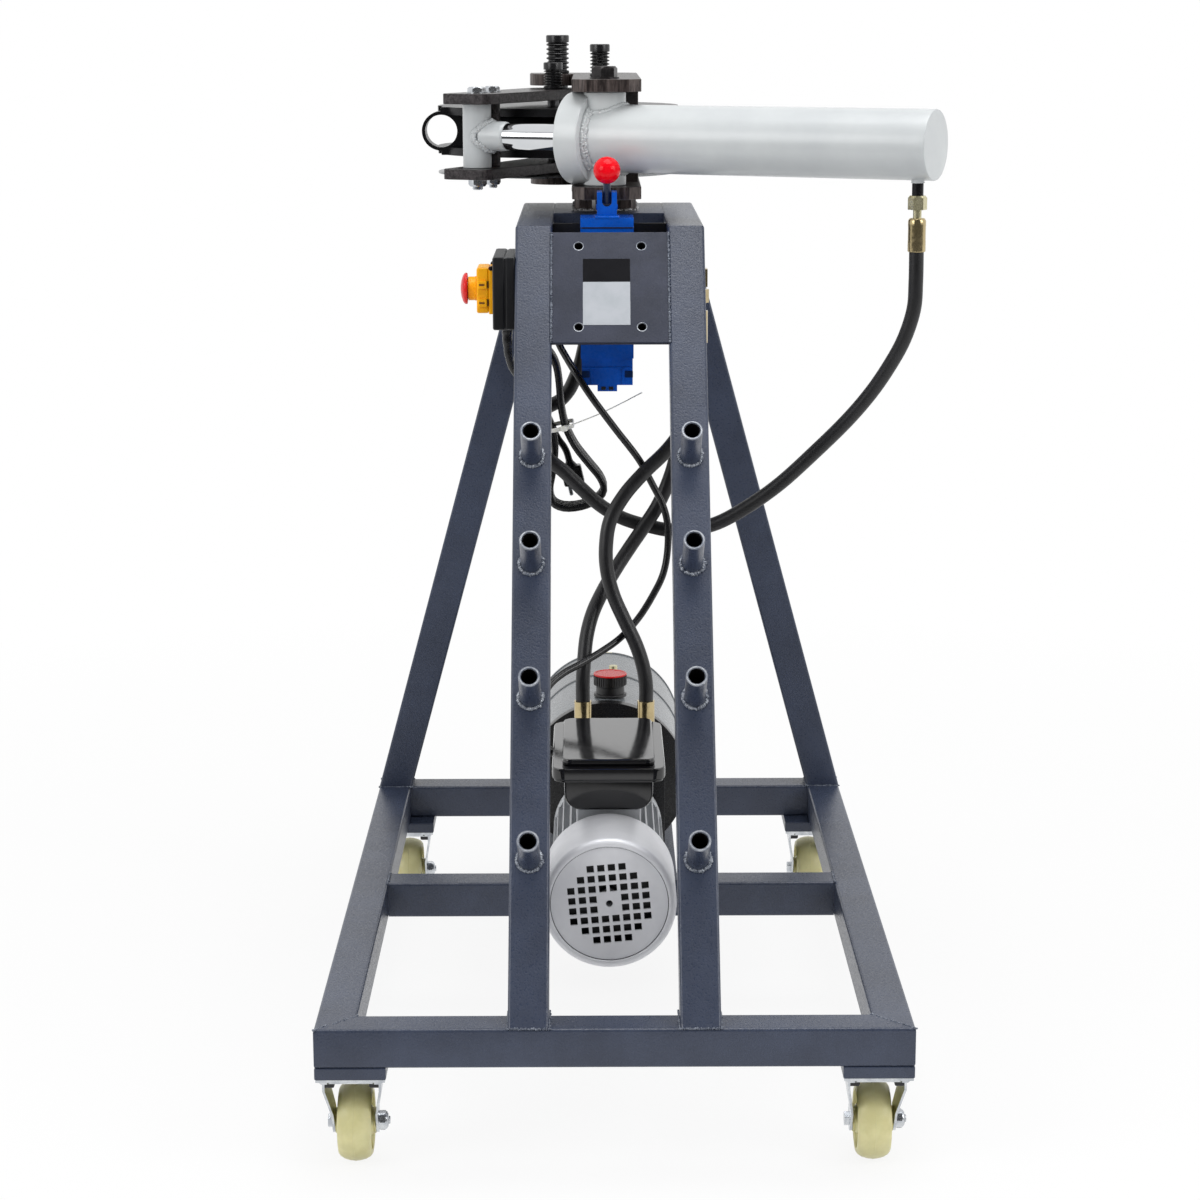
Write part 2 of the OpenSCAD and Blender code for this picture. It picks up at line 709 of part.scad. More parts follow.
module stop_pin() {
    color(rubber) translate([stop_pin_x, stop_pin_y, upper_plate_z + plate_t])
        pull_pin(stop_pin_d, head_gap + 2 * plate_t, small_grip_d, small_grip_h + 5);
}

// The shape that both swing arms are cut to, with X towards the rod end.
module arm_outline() {
    nose = 33;
    clip = 10;
    circle(r = pivot_boss_r);
    polygon([[0, -pivot_boss_r], [arm_len - 30, -arm_half_w], [arm_len + nose - clip, -arm_half_w],
        [arm_len + nose, -arm_half_w + clip], [arm_len + nose, arm_half_w - clip],
        [arm_len + nose - clip, arm_half_w], [arm_len - 30, arm_half_w], [0, pivot_boss_r]]);
}

module swing_arms() {
    color(head_black) on_arm() for (z = [-arm_gap / 2 - arm_t, arm_gap / 2])
        translate([0, 0, z]) difference() {
            linear_extrude(arm_t) arm_outline();
            translate([0, 0, -eps]) cylinder(d = main_pin_d + 2 * run_fit, h = arm_t + 1);
            translate([arm_len, 0, -eps]) cylinder(d = rod_bolt_d, h = arm_t + 1);
            translate([arm_len - spacer_back, 0, -eps]) cylinder(d = spacer_bolt_d, h = arm_t + 1);
            rotate([0, 0, drive_pin_a - arm_dir]) translate([drive_pin_r, 0, z > 0 ? -eps : arm_t + eps])
                cylinder(d = drive_pin_d + 2 * run_fit, h = arm_t + 1);
        }
}

module arm_spacer() {
    color(head_black) on_arm() translate([arm_len - spacer_back, 0, -arm_gap / 2]) difference() {
        cylinder(d = spacer_d, h = arm_gap);
        translate([0, 0, -eps]) cylinder(d = spacer_bolt_d, h = arm_gap + 1);
    }
}

module arm_bolt(d) {
    low = -arm_gap / 2 - arm_t;
    translate([0, 0, low - 13]) cylinder(d = d, h = arm_gap + 2 * arm_t + 13);
    translate([0, 0, low - 9]) hexagon(1.55 * d, 9);
    translate([0, 0, -low]) hexagon(1.55 * d, 7);
}

module arm_bolts() {
    color(zinc) on_arm() {
        translate([arm_len, 0, 0]) arm_bolt(rod_bolt_d);
        translate([arm_len - spacer_back, 0, 0]) arm_bolt(spacer_bolt_d);
    }
}

module bending_die() {
    color(rubber) translate([pivot_x, pivot_y, bend_z]) difference() {
        rotate_extrude($fn = 128) difference() {
            translate([0, -die_h / 2]) square([die_d / 2, die_h]);
            translate([bend_r, 0]) circle(r = groove_r, $fn = 64);
            translate([bend_r, -groove_r]) square([die_d, 2 * groove_r]);
        }
        translate([0, 0, -die_h]) cylinder(d = main_pin_d + 2 * run_fit, h = 2 * die_h);
        rotate([0, 0, drive_pin_a]) translate([drive_pin_r, 0, die_h / 2 - 36])
            cylinder(d = drive_pin_d + 2 * run_fit, h = 40);
        translate([-bend_r - 60, hook_y - pivot_y, -die_h]) cube([96, hook_len, 2 * die_h]);
    }
}

module die_hook() {
    color(rubber) translate([pivot_x - bend_r, hook_y, bend_z]) difference() {
        union() {
            rotate([-90, 0, 0]) cylinder(r = groove_r + hook_wall, h = hook_len);
            translate([0, 0, -die_h / 2]) cube([36, hook_len, die_h]);
        }
        translate([0, -eps, 0]) rotate([-90, 0, 0]) cylinder(r = groove_r, h = hook_len + 1, $fn = 64);
    }
}

module cylinder_tube() {
    color(ram_paint) difference() {
        union() {
            on_ram() ram_bar(-collar_left, ram_tail - cap_t, ram_d);
            translate([port_x, port_y, bend_z - ram_d / 2 - 2]) cylinder(d = 15, h = 8);
        }
        on_ram() ram_bar(-collar_left - 1, ram_tail, ram_bore);
        translate([port_x, port_y, bend_z - ram_d]) cylinder(d = 8, h = ram_d);
    }
}

module cylinder_end_cap() {
    color(ram_paint) on_ram() {
        ram_bar(ram_tail - cap_t, ram_tail, ram_d);
    }
}

module cylinder_collar() {
    boss_h = head_gap - 2 * seat_gap;
    color(ram_paint) on_ram() difference() {
        union() {
            ram_bar(-collar_left, -collar_left + collar_w, collar_d);
            translate([0, 0, -boss_h / 2]) cylinder(d = boss_d, h = boss_h);
        }
        ram_bar(-collar_left - 1, collar_left, ram_d);
        translate([0, 0, -head_gap]) cylinder(d = trunnion_d + 2 * run_fit, h = 2 * head_gap);
    }
}

module gland_bush() {
    color(brass_zinc) on_ram() difference() {
        ram_bar(-collar_left + 1, -collar_left + 1 + gland_l, ram_bore);
        ram_bar(-collar_left, collar_left, rod_d + 2 * run_fit);
        for (u = [8, 26]) difference() {
            ram_bar(-collar_left + u, -collar_left + u + 4, rod_d + 7);
            ram_bar(-collar_left + u, -collar_left + u + 4, rod_d + 2);
        }
    }
}

module piston_rod() {
    color([0.85, 0.86, 0.88]) on_ram() ram_bar(rod_start, piston_right - piston_l, rod_d);
}

module rod_end() {
    bush_h = arm_gap - 2 * seat_gap;
    color(ram_paint) on_ram() difference() {
        union() {
            translate([-ram_len, 0, -bush_h / 2]) cylinder(d = bush_d, h = bush_h, $fn = 64);
            ram_bar(-ram_len, rod_start, neck_d - 1);
        }
        translate([-ram_len, 0, -bush_h]) cylinder(d = rod_bush_bore, h = 2 * bush_h, $fn = 64);
    }
}

module piston() {
    color(zinc) on_ram() {
        difference() {
            ram_bar(piston_right - piston_l, piston_right, ram_bore - 0.2);
            for (u = [10, 26]) difference() {
                ram_bar(piston_right - piston_l + u, piston_right - piston_l + u + 5, ram_bore + 2);
                ram_bar(piston_right - piston_l + u - 1, piston_right - piston_l + u + 6, ram_bore - 8);
            }
        }
        for (u = [10, 26]) difference() {
            ram_bar(piston_right - piston_l + u, piston_right - piston_l + u + 5, ram_bore - 0.2);
            ram_bar(piston_right - piston_l + u - 1, piston_right - piston_l + u + 6, ram_bore - 8);
        }
    }
}

module return_spring() {
    left = -collar_left + gland_l + 1 + spring_wire / 2 + seat_gap;
    length = piston_right - piston_l - spring_wire / 2 - seat_gap - left;
    coil_r = (ram_bore - spring_wire) / 2 - 1.5;
    steps = 10 * spring_turns;
    path = [for (i = [0:steps]) [left + length * i / steps, coil_r * cos(36 * i), coil_r * sin(36 * i)]];
    echo(spring_gap_to_itself = self_gap(path, spring_wire, 5));
    color(zinc) on_ram() coil(path, spring_wire / 2, 6);
}

// A swept tube that winds about the X axis.
function coil_ring(c, t, r, n) =
    let (u = cross(t, [1, 0, 0]), a = u / norm(u), b = cross(t, a))
    [for (k = [0:n - 1]) c + r * cos(360 * k / n) * a + r * sin(360 * k / n) * b];
module coil(p, r, n) {
    rings = [for (i = [0:len(p) - 1]) each coil_ring(p[i], tangent(p, i), r, n)];
    last = (len(p) - 1) * n;
    sides = [for (i = [0:len(p) - 2], k = [0:n - 1], h = [0, 1])
        let (a = i * n + k, b = i * n + (k + 1) % n)
        h == 0 ? [a, a + n, b] : [b, a + n, b + n]];
    ends = [for (k = [1:n - 2], h = [0, 1])
        h == 0 ? [0, k, k + 1] : [last, last + k + 1, last + k]];
    polyhedron(points = rings, faces = concat(sides, ends));
}

// A crimped hose end that points up, its hose face at the origin.
module hose_end(reach) {
    cylinder(d = ferrule_d, h = ferrule_l);
    translate([0, 0, ferrule_l]) cylinder(d = 12, h = port_neck_l);
    translate([0, 0, ferrule_l + port_neck_l]) hexagon(19, port_nut_h);
    translate([0, 0, ferrule_l + port_neck_l + port_nut_h]) cylinder(d = 13, h = reach);
}

module cylinder_fitting() {
    color(brass_zinc) translate([port_x, port_y, port_bottom]) hose_end(nipple_l - 2.5);
}

// A hose end beside the valve, with the block and bar that lead to it.
module side_adapter(place) {
    top = side_port_z + ferrule_l + port_neck_l + port_nut_h;
    side = valve_x + valve_w / 2;
    translate([place.x, place.y, side_port_z]) hose_end(4);
    translate([place.x - 9, place.y - 9, top + 3]) cube([18, 18, 20]);
    translate([side, place.y, top + 13]) rotate([0, 90, 0]) cylinder(d = 14, h = place.x - 8 - side);
}

// The hose end behind the valve, with the block and bar that lead to it.
module rear_adapter() {
    top = rear_port.z + ferrule_l + port_neck_l + port_nut_h;
    translate(rear_port) hose_end(3);
    translate([rear_port.x - 9, rear_port.y - 9, top + 2]) cube([18, 18, 16]);
    translate([rear_port.x, valve_back, top + 8]) rotate([-90, 0, 0])
        cylinder(d = 10, h = rear_port.y - 8 - valve_back);
}

module hose_fittings() {
    low = pump_ferrule_top;
    color(brass_zinc) {
        for (s = [-1, 1]) translate([unit_x + 8 + s * pump_port_x, pump_port_y, low]) rotate([180, 0, 0])
            hose_end(low - block_top - ferrule_l - port_neck_l - port_nut_h);
        side_adapter(side_port_front);
        side_adapter(side_port_rear);
        rear_adapter();
    }
}

module cylinder_hose() { color(rubber) swept(cylinder_hose_route, hose_d / 2, 8); }
module pressure_hose() { color(rubber) swept(pressure_hose_route, hose_d / 2, 8); }
module return_hose() { color(rubber) swept(return_hose_route, hose_d / 2, 8); }
module motor_cable() { color(rubber) swept(motor_cable_route, cable_d / 2, 8); }
module power_cord_lead() { color(rubber) swept(cord_lead_route, cord_d / 2, 8); }

// A place in the hank's own tilted plane, at a depth.
function hank_place(across, up, y) =
    [hank_x + across * cos(hank_tilt) - up * sin(hank_tilt), y,
        hank_z + across * sin(hank_tilt) + up * cos(hank_tilt)];

// The hank's line: loops drawn in at the tie, stepping towards the back.
function hank_point(a) =
    hank_place(cos(a) * (hank_waist + hank_bulge * sin(a) ^ 2 * (1 - 0.3 * sin(a))),
        hank_half * sin(a), hank_y + hank_step * (a - hank_start) / 360)
    - [hank_sweep * ((1 + sin(a)) / 2) ^ 2, 0, 0];

// The least gap of a wound tube to itself, measured on its points.
function self_gap(p, d, skip) =
    min([for (i = [0:len(p) - 1], j = [i + skip:1:len(p) - 1]) norm(p[i] - p[j])]) - d;

hank_last_y = hank_y + hank_step * (hank_end - hank_start) / 360;

module power_cord_hank() {
    steps = ceil((hank_end - hank_start) / 15);
    path = concat([for (i = [0:steps]) hank_point(hank_start + (hank_end - hank_start) * i / steps)],
        [for (t = hank_tail) hank_place(t.x, t.y, hank_last_y)]);
    echo(hank_gap_to_itself = self_gap(path, cord_d, 8));
    color(rubber) swept(path, cord_d / 2, 6);
}

module power_plug() {
    tip = hank_tail[len(hank_tail) - 1];
    color(rubber) translate(hank_place(tip.x, tip.y, hank_last_y)) rotate([0, 180 - hank_tilt, 0]) {
        cylinder(d1 = cord_d, d2 = 18, h = 8, $fn = 32);
        translate([-12, -9, 8]) cube([24, 18, 22]);
        for (s = [-1, 1]) translate([s * 6.5, 0, 30]) cylinder(d = 4.8, h = 12, $fn = 24);
    }
}

module valve_body() {
    half = valve_w / 2;
    color(valve_blue) difference() {
        union() {
            translate([valve_x - half, valve_front, valve_cap_z])
                cube([valve_w, valve_d, valve_top - valve_cap_z]);
            translate([valve_x - half + 1, valve_front + 2, valve_bottom])
                cube([valve_w - 2, valve_d - 4, valve_cap_z - valve_bottom]);
            translate([valve_x - 11, valve_front + 2, valve_bottom - 7]) cube([22, 30, 8]);
            translate([valve_x - half, valve_front - 1, valve_top]) cube([valve_w, valve_d, flange_t]);
            translate([valve_x - clevis_w / 2, clevis_front, clevis_z])
                cube([clevis_w, clevis_l, clevis_h]);
            translate([valve_x, valve_back - 12, valve_cap_z + 45]) rotate([-90, 0, 0])
                cylinder(r = 44, h = 12);
        }
        translate([valve_x - slot_w / 2, slot_front, clevis_z + 3]) cube([slot_w, clevis_l, clevis_h]);
        translate([valve_x, clevis_front - 1, clevis_z + notch_rise]) rotate([-90, 0, 0]) {
            cylinder(d = slot_w, h = clevis_wall + 2);
            translate([-slot_w / 2, -clevis_h, 0]) cube([slot_w, clevis_h, clevis_wall + 2]);
        }
        translate([valve_x, spool_y, valve_bottom + 20])
            cylinder(d = spool_d + 2 * run_fit, h = valve_top - valve_bottom - 28);
        translate([valve_x, spool_y, valve_top - 9]) cylinder(d = tip_d + 2 * run_fit, h = 60);
        translate([valve_x - clevis_w, lever_y, lever_z]) rotate([0, 90, 0])
            cylinder(d = lever_pin_d, h = 2 * clevis_w, $fn = 32);
    }
    color(zinc) translate([valve_x - clevis_w / 2 - 1, lever_y, lever_z]) rotate([0, 90, 0])
        cylinder(d = lever_pin_d, h = clevis_w + 2, $fn = 32);
}

module valve_spool() {
    color(zinc) {
        translate([valve_x, spool_y, valve_bottom + 40])
            cylinder(d = spool_d, h = valve_top - valve_bottom - 54);
        translate([valve_x, spool_y, valve_top - 15]) cylinder(d = tip_d, h = flange_t + 19);
        translate([valve_x, spool_y, valve_top]) cylinder(d = 3, h = lever_z - valve_top - 0.1);
    }
}

module valve_lever() {
    color([0.10, 0.14, 0.24]) translate([valve_x, lever_y, lever_z]) difference() {
        union() {
            translate([-5, 0, 0]) rotate([0, 90, 0]) cylinder(d = lever_hub_d, h = 10);
            rotate([lever_lean, 0, 0]) cylinder(d1 = 9.6, d2 = 8, h = lever_len - knob_d / 2 + 6, $fn = 32);
            translate([-3, 0, 0.5]) cube([6, spool_y - lever_y + 2, 5]);
        }
        translate([-6, 0, 0]) rotate([0, 90, 0]) cylinder(d = lever_pin_d + 2 * run_fit, h = 12, $fn = 32);
    }
}

module lever_knob() {
    color([0.86, 0.10, 0.10]) translate([valve_x, lever_y, lever_z]) rotate([lever_lean, 0, 0])
        translate([0, 0, lever_len]) difference() {
            sphere(d = knob_d, $fn = 64);
            translate([0, 0, -knob_d]) cylinder(d = 10, h = knob_d - knob_d / 2 + 6, $fn = 32);
        }
}

module switch_box() {
    color(rubber) {
        difference() {
            translate([switch_x - switch_t / 2, switch_y, switch_z])
                cube([switch_t / 2, switch_l, switch_h]);
            translate([switch_x - switch_t / 2 - eps, switch_y + 3, switch_z + 3])
                cube([switch_t / 2 - 2.5, switch_l - 6, switch_h - 6]);
        }
        difference() {
            translate([estop_face, switch_y, switch_z]) cube([switch_t / 2, switch_l, switch_h]);
            translate([estop_face + 2.5, switch_y + 3, switch_z + 3])
                cube([switch_t / 2, switch_l - 6, switch_h - 6]);
        }
        translate([switch_x, cable_gland_y, cable_gland_z]) rotate([0, 90, 0])
            cylinder(d = gland_d, h = gland_h);
        translate([lead_gland_x, lead_gland_y, lead_gland_z]) cylinder(d = gland_d, h = gland_h);
        for (side = [0, 180])
            translate([hinge_x, estop_y, hinge_z]) rotate([0, 0, side]) hinge_lug(side == 0 ? 1 : -1);
    }
}

// A lug beside the flap with the stub pin that the flap turns on, its wall side at X times this sign.
module hinge_lug(wall) {
    lug_y = cover_w / 2 + seat_gap;
    reach = hinge_barrel_d / 2 + seat_gap + 1;
    rotate([-90, 0, 0]) {
        translate([0, 0, lug_y]) cylinder(d = hinge_barrel_d, h = 5);
        translate([wall > 0 ? 0 : -reach, -hinge_barrel_d / 2, lug_y]) cube([reach, hinge_barrel_d, 5]);
        translate([0, 0, lug_y - 6]) cylinder(d = hinge_pin_d, h = 7);
    }
}

// The yellow flap with its neck, hinged along its top edge.
module switch_cover() {
    face = estop_face - seat_gap;
    color([0.95, 0.70, 0.10]) difference() {
        union() {
            translate([face - cover_t, estop_y - cover_w / 2, estop_z - cover_h / 2])
                cube([cover_t, cover_w, cover_h]);
            translate([face - cover_t - 10, estop_y, estop_z]) rotate([0, 90, 0]) cylinder(d = 29, h = 12);
            translate([hinge_x, estop_y - cover_w / 2, hinge_z]) rotate([-90, 0, 0])
                cylinder(d = hinge_barrel_d, h = cover_w);
        }
        translate([hinge_x, estop_y - cover_w, hinge_z]) rotate([-90, 0, 0])
            cylinder(d = hinge_pin_d + 2 * run_fit, h = 2 * cover_w);
        translate([face - cover_t + 3, estop_y - cover_w / 2 + 3, estop_z - cover_h / 2 + 3])
            cube([cover_t, cover_w - 6, cover_h - 6]);
        translate([face - 40, estop_y, estop_z]) rotate([0, 90, 0]) cylinder(d = 20 + 2 * run_fit, h = 60);
    }
}

module stop_button() {
    face = estop_face - seat_gap - cover_t - 10;
    color([0.80, 0.12, 0.10]) translate([face, estop_y, estop_z]) rotate([0, -90, 0]) {
        translate([0, 0, -18]) cylinder(d = 20, h = 24);
        translate([0, 0, 4.5]) cylinder(d = button_d, h = 3);
        translate([0, 0, 7.5]) cylinder(d1 = button_d, d2 = button_d - 12, h = 2);
    }
}

module motor_fins() {
    for (a = [0:12:348]) rotate([0, 0, a]) translate([0, -1.2]) square([motor_d / 2, 2.4]);
}

module motor_body() {
    color(zinc) translate([unit_x, motor_y, motor_z]) rotate([-90, 0, 0]) {
        difference() {
            union() {
                linear_extrude(motor_l) union() {
                    circle(d = motor_d - 14, $fn = 96);
                    motor_fins();
                }
                cylinder(d = cowl_d - 4.6, h = 8, $fn = 96);
                translate([0, 0, motor_l - 14]) cylinder(d = motor_d, h = 14, $fn = 96);
            }
            translate([0, 0, 8]) cylinder(d = core_d, h = motor_l - 18, $fn = 96);
            translate([0, 0, -eps]) cylinder(d = shaft_d + 2 * run_fit, h = motor_l + 1);
        }
        translate([0, 0, core_start]) difference() {
            cylinder(d = core_d, h = core_l, $fn = 96);
            translate([0, 0, -eps]) cylinder(d = rotor_d + 2, h = core_l + 1, $fn = 96);
        }
        translate([0, 0, motor_l]) difference() {
            cylinder(d = 96, h = adapter_l);
            translate([0, 0, -eps]) cylinder(d = shaft_d + 4, h = adapter_l + 1);
        }
    }
    color(zinc) translate([unit_x - 34, motor_y + 12, motor_z + motor_d / 2 - 7]) difference() {
        cube([68, 130, 21]);
        translate([10, 10, 6]) cube([48, 110, 30]);
    }
}

module cowl_hole(i, j) {
    translate([(i - 3.5) * grille_pitch - grille_hole / 2, (j - 3.5) * grille_pitch - grille_hole / 2, -1])
        cube([grille_hole, grille_hole, 5]);
}

module motor_cowl() {
    rows = [[2, 5], [1, 6], [0, 7], [0, 7], [0, 7], [0, 7], [1, 6], [2, 5]];
    color([0.80, 0.80, 0.80]) translate([unit_x, cowl_y, motor_z]) rotate([-90, 0, 0]) difference() {
        rotate_extrude($fn = 96) difference() {
            union() {
                translate([0, 2.5]) square([cowl_d / 2 - 5, cowl_l + 3 - 2.5]);
                translate([0, 6]) square([cowl_d / 2, cowl_l + 3 - 6]);
                translate([cowl_d / 2 - 6, 6]) circle(r = 6);
            }
            translate([0, 5]) square([cowl_d / 2 - 8, cowl_l]);
            translate([0, 9]) square([cowl_d / 2 - 2, cowl_l]);
            translate([0, -1]) square([cowl_d / 2 - 8, 3.5]);
        }
        translate([0, 0, 2]) rotate([0, 0, -5]) {
            for (j = [0:7], i = [rows[j][0]:rows[j][1]])
                if ((i < 3 || i > 4) || (j < 3 || j > 4)) cowl_hole(i, j);
            cylinder(d = 7, h = 10, center = true);
        }
    }
}

module rotor_shaft() {
    color(zinc) translate([unit_x, shaft_y, motor_z]) rotate([-90, 0, 0]) {
        cylinder(d = shaft_d, h = block_y + shaft_engage - shaft_y);
        translate([0, 0, motor_y + core_start - shaft_y]) cylinder(d = rotor_d, h = core_l, $fn = 64);
    }
}

module cooling_fan() {
    color([0.15, 0.15, 0.16]) translate([unit_x, cowl_y + 26, motor_z]) rotate([-90, 0, 0]) difference() {
        union() {
            cylinder(d = 38, h = 26);
            cylinder(d = cowl_d - 24, h = 3, $fn = 64);
            for (a = [0:40:320]) rotate([0, 0, a]) translate([10, -1.5, 0]) cube([cowl_d / 2 - 23, 3, 24]);
        }
        translate([0, 0, -1]) cylinder(d = shaft_d, h = 40);
    }
}

// A box section with two rounded lower corners, its foot at the origin.
module rounded_foot(width, height, r) {
    translate([-width / 2, r]) square([width, height - r]);
    translate([-width / 2 + r, 0]) square([width - 2 * r, height]);
    for (s = [-1, 1]) translate([s * (width / 2 - r), r]) circle(r = r);
}

module terminal_box() {
    foot = motor_z + motor_d / 2 + 14;
    lid = foot + 36;
    y = motor_y + 8;
    color(rubber) {
        difference() {
            translate([unit_x, y + 176, foot]) rotate([90, 0, 0])
                linear_extrude(176) rounded_foot(93, 36, 18);
            translate([unit_x, y + 173, foot + 3]) rotate([90, 0, 0])
                linear_extrude(170) rounded_foot(87, 40, 15);
        }
        translate([unit_x - 59, y - 12, lid]) cube([118, 200, 8]);
        translate([unit_x - 48, y, lid + 8]) cube([96, 176, 7]);
        translate(motor_gland) rotate([0, 90, 0]) cylinder(d = 14, h = unit_x - 46.5 - motor_gland.x);
    }
}

module pump_block() {
    color([0.12, 0.12, 0.13]) difference() {
        union() {
            translate([block_left, block_y, rail_top + tray_t])
                cube([block_w, block_l - 14, block_top - rail_top - tray_t]);
            translate([unit_x, tank_y - 14, tank_z]) rotate([-90, 0, 0])
                cylinder(d = tank_d + 4, h = 14, $fn = 96);
        }
        translate([-200, block_y - 10, 0]) cube([400, block_l + 40, rail_top + tray_t]);
        translate([unit_x, block_y - 1, motor_z]) rotate([-90, 0, 0])
            cylinder(d = shaft_d + 2 * run_fit, h = 60);
    }
}

module oil_tank() {
    wall = 2.5;
    color([0.62, 0.64, 0.65]) difference() {
        union() {
            translate([unit_x, tank_y, tank_z]) rotate([-90, 0, 0]) {
                cylinder(d = tank_d, h = tank_l, $fn = 96);
                for (z = band_places) translate([0, 0, z]) cylinder(d = tank_d + 2, h = 4, $fn = 96);
            }
            translate([0, cap_y, tank_z + tank_d / 2 - 12]) cylinder(d = neck_d_out, h = 22);
            translate([4, cap_y + 50, tank_z + tank_d / 2 - 8]) hexagon(20, 16);
            translate([4, cap_y + 50, tank_z + tank_d / 2 + 6]) cylinder(d = 10, h = 18);
        }
        translate([unit_x, tank_y + wall, tank_z]) rotate([-90, 0, 0])
            cylinder(d = tank_d - 2 * wall, h = tank_l - 2 * wall, $fn = 96);
        translate([0, cap_y, tank_z]) cylinder(d = neck_d_out - 8, h = tank_d);
        translate([-tank_d / 2, tank_y, rail_top]) cube([tank_d, tank_l, tray_t]);
    }
}

module filler_cap() {
    low = tank_z + tank_d / 2 + seat_gap;
    color([0.12, 0.12, 0.12]) translate([0, cap_y, low]) difference() {
        union() {
            cylinder(d = cap_d - 2, h = cap_h);
            for (a = [0:15:345])
                rotate([0, 0, a]) translate([cap_d / 2 - 3, -1.2, 2]) cube([3, 2.4, cap_h - 10]);
        }
        translate([0, 0, -1]) cylinder(d = neck_d_out + 2 * seat_gap, h = 12);
    }
}

base_frame();
caster_plates();
fork_front_left();
fork_front_right();
fork_rear_left();
fork_rear_right();
wheel_front_left();
wheel_front_right();
wheel_rear_left();
wheel_rear_right();
front_posts();
storage_pegs();
rear_legs();
deck_frame();
front_panel();
head_spacers();
lower_plate();
upper_plate();
angle_disc();
trunnion_bolts();
main_pin();
drive_pin();
stop_pin();
swing_arms();
arm_spacer();
arm_bolts();
bending_die();
die_hook();
cylinder_tube();
cylinder_end_cap();
cylinder_collar();
gland_bush();
piston_rod();
rod_end();
piston();
return_spring();
cylinder_fitting();
hose_fittings();
cylinder_hose();
pressure_hose();
return_hose();
motor_cable();
power_cord_lead();
power_cord_hank();
power_plug();
valve_body();
valve_spool();
valve_lever();
lever_knob();
switch_box();
switch_cover();
stop_button();
motor_body();
motor_cowl();
rotor_shaft();
cooling_fan();
terminal_box();
pump_block();
oil_tank();
filler_cap();
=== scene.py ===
# Hydraulic pipe bender: its looks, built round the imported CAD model. Lengths are millimetres
# and become metres when a piece is made. Only the studio's are metres from the start.
import json
from math import atan, cos, hypot, pi, radians, sin, sqrt, tau

import bmesh
import bpy
from mathutils import Euler, Matrix, Vector
from mathutils.geometry import tessellate_polygon

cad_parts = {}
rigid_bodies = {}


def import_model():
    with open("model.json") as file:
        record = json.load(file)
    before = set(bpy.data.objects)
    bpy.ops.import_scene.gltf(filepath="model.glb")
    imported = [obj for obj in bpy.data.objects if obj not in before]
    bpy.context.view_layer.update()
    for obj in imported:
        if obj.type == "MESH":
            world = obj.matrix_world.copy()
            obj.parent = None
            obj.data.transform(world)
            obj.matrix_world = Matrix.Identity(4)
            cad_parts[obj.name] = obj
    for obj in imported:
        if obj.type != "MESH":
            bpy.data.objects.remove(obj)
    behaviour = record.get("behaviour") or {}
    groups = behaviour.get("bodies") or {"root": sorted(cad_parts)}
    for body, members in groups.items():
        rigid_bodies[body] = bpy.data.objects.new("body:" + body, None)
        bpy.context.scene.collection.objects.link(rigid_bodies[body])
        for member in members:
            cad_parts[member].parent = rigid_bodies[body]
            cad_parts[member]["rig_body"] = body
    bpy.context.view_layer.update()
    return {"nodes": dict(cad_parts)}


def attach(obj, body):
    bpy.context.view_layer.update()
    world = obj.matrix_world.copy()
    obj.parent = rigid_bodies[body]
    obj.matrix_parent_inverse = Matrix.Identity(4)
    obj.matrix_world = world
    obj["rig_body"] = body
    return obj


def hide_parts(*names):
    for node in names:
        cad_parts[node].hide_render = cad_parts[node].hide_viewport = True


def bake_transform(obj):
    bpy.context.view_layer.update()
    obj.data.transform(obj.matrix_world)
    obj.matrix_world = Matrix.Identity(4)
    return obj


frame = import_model()

# The studio. A white floor and a white surround show as plain white, and the floor keeps a
# soft shadow. The camera stands three metres off with a long lens and looks slightly down.
scene = bpy.context.scene
scene.view_settings.view_transform = "Standard"
MM = 0.001


def add(tree, kind, settings=(), links=()):
    """Adds one node: its settings by name, its inputs as values or as (node, output) links."""
    new = tree.nodes.new(kind)
    for name, value in dict(settings).items():
        setattr(new, name, value)
    for name, value in dict(links).items():
        if isinstance(value, tuple) and isinstance(value[0], bpy.types.Node):
            tree.links.new(value[0].outputs[value[1]], new.inputs[name])
        else:
            new.inputs[name].default_value = value
    return new


def paint(code):
    """An sRGB hex colour as linear red, green, blue and alpha."""
    parts = [int(code[i : i + 2], 16) / 255 for i in (1, 3, 5)]
    linear = [c / 12.92 if c <= 0.04045 else ((c + 0.055) / 1.055) ** 2.4 for c in parts]
    return (*linear, 1.0)


def seen_directly(tree):
    """1 for camera, mirror and glass rays, 0 for the rays that carry light to the object."""
    ray = add(tree, "ShaderNodeLightPath")
    larger = {"operation": "MAXIMUM"}
    either = add(
        tree, "ShaderNodeMath", larger, {0: (ray, "Is Camera Ray"), 1: (ray, "Is Glossy Ray")}
    )
    return add(
        tree, "ShaderNodeMath", larger, {0: (either, "Value"), 1: (ray, "Is Transmission Ray")}
    )


def dark_in_front(tree, where, output, far, near):
    """1, but less for mirror rays that meet what lies in front, past the far and near Y."""
    along = add(tree, "ShaderNodeSeparateXYZ", {}, {0: (where, output)})
    fading = add(
        tree, "ShaderNodeMapRange", {"interpolation_type": "SMOOTHSTEP"},
        {"Value": (along, "Y"), "From Min": far, "From Max": near, "To Min": 0.1, "To Max": 1.0},
    )
    ray = add(tree, "ShaderNodeLightPath")
    return add(
        tree, "ShaderNodeMix", {"data_type": "FLOAT"},
        {0: (ray, "Is Glossy Ray"), 2: 1.0, 3: (fading, "Result")},
    )


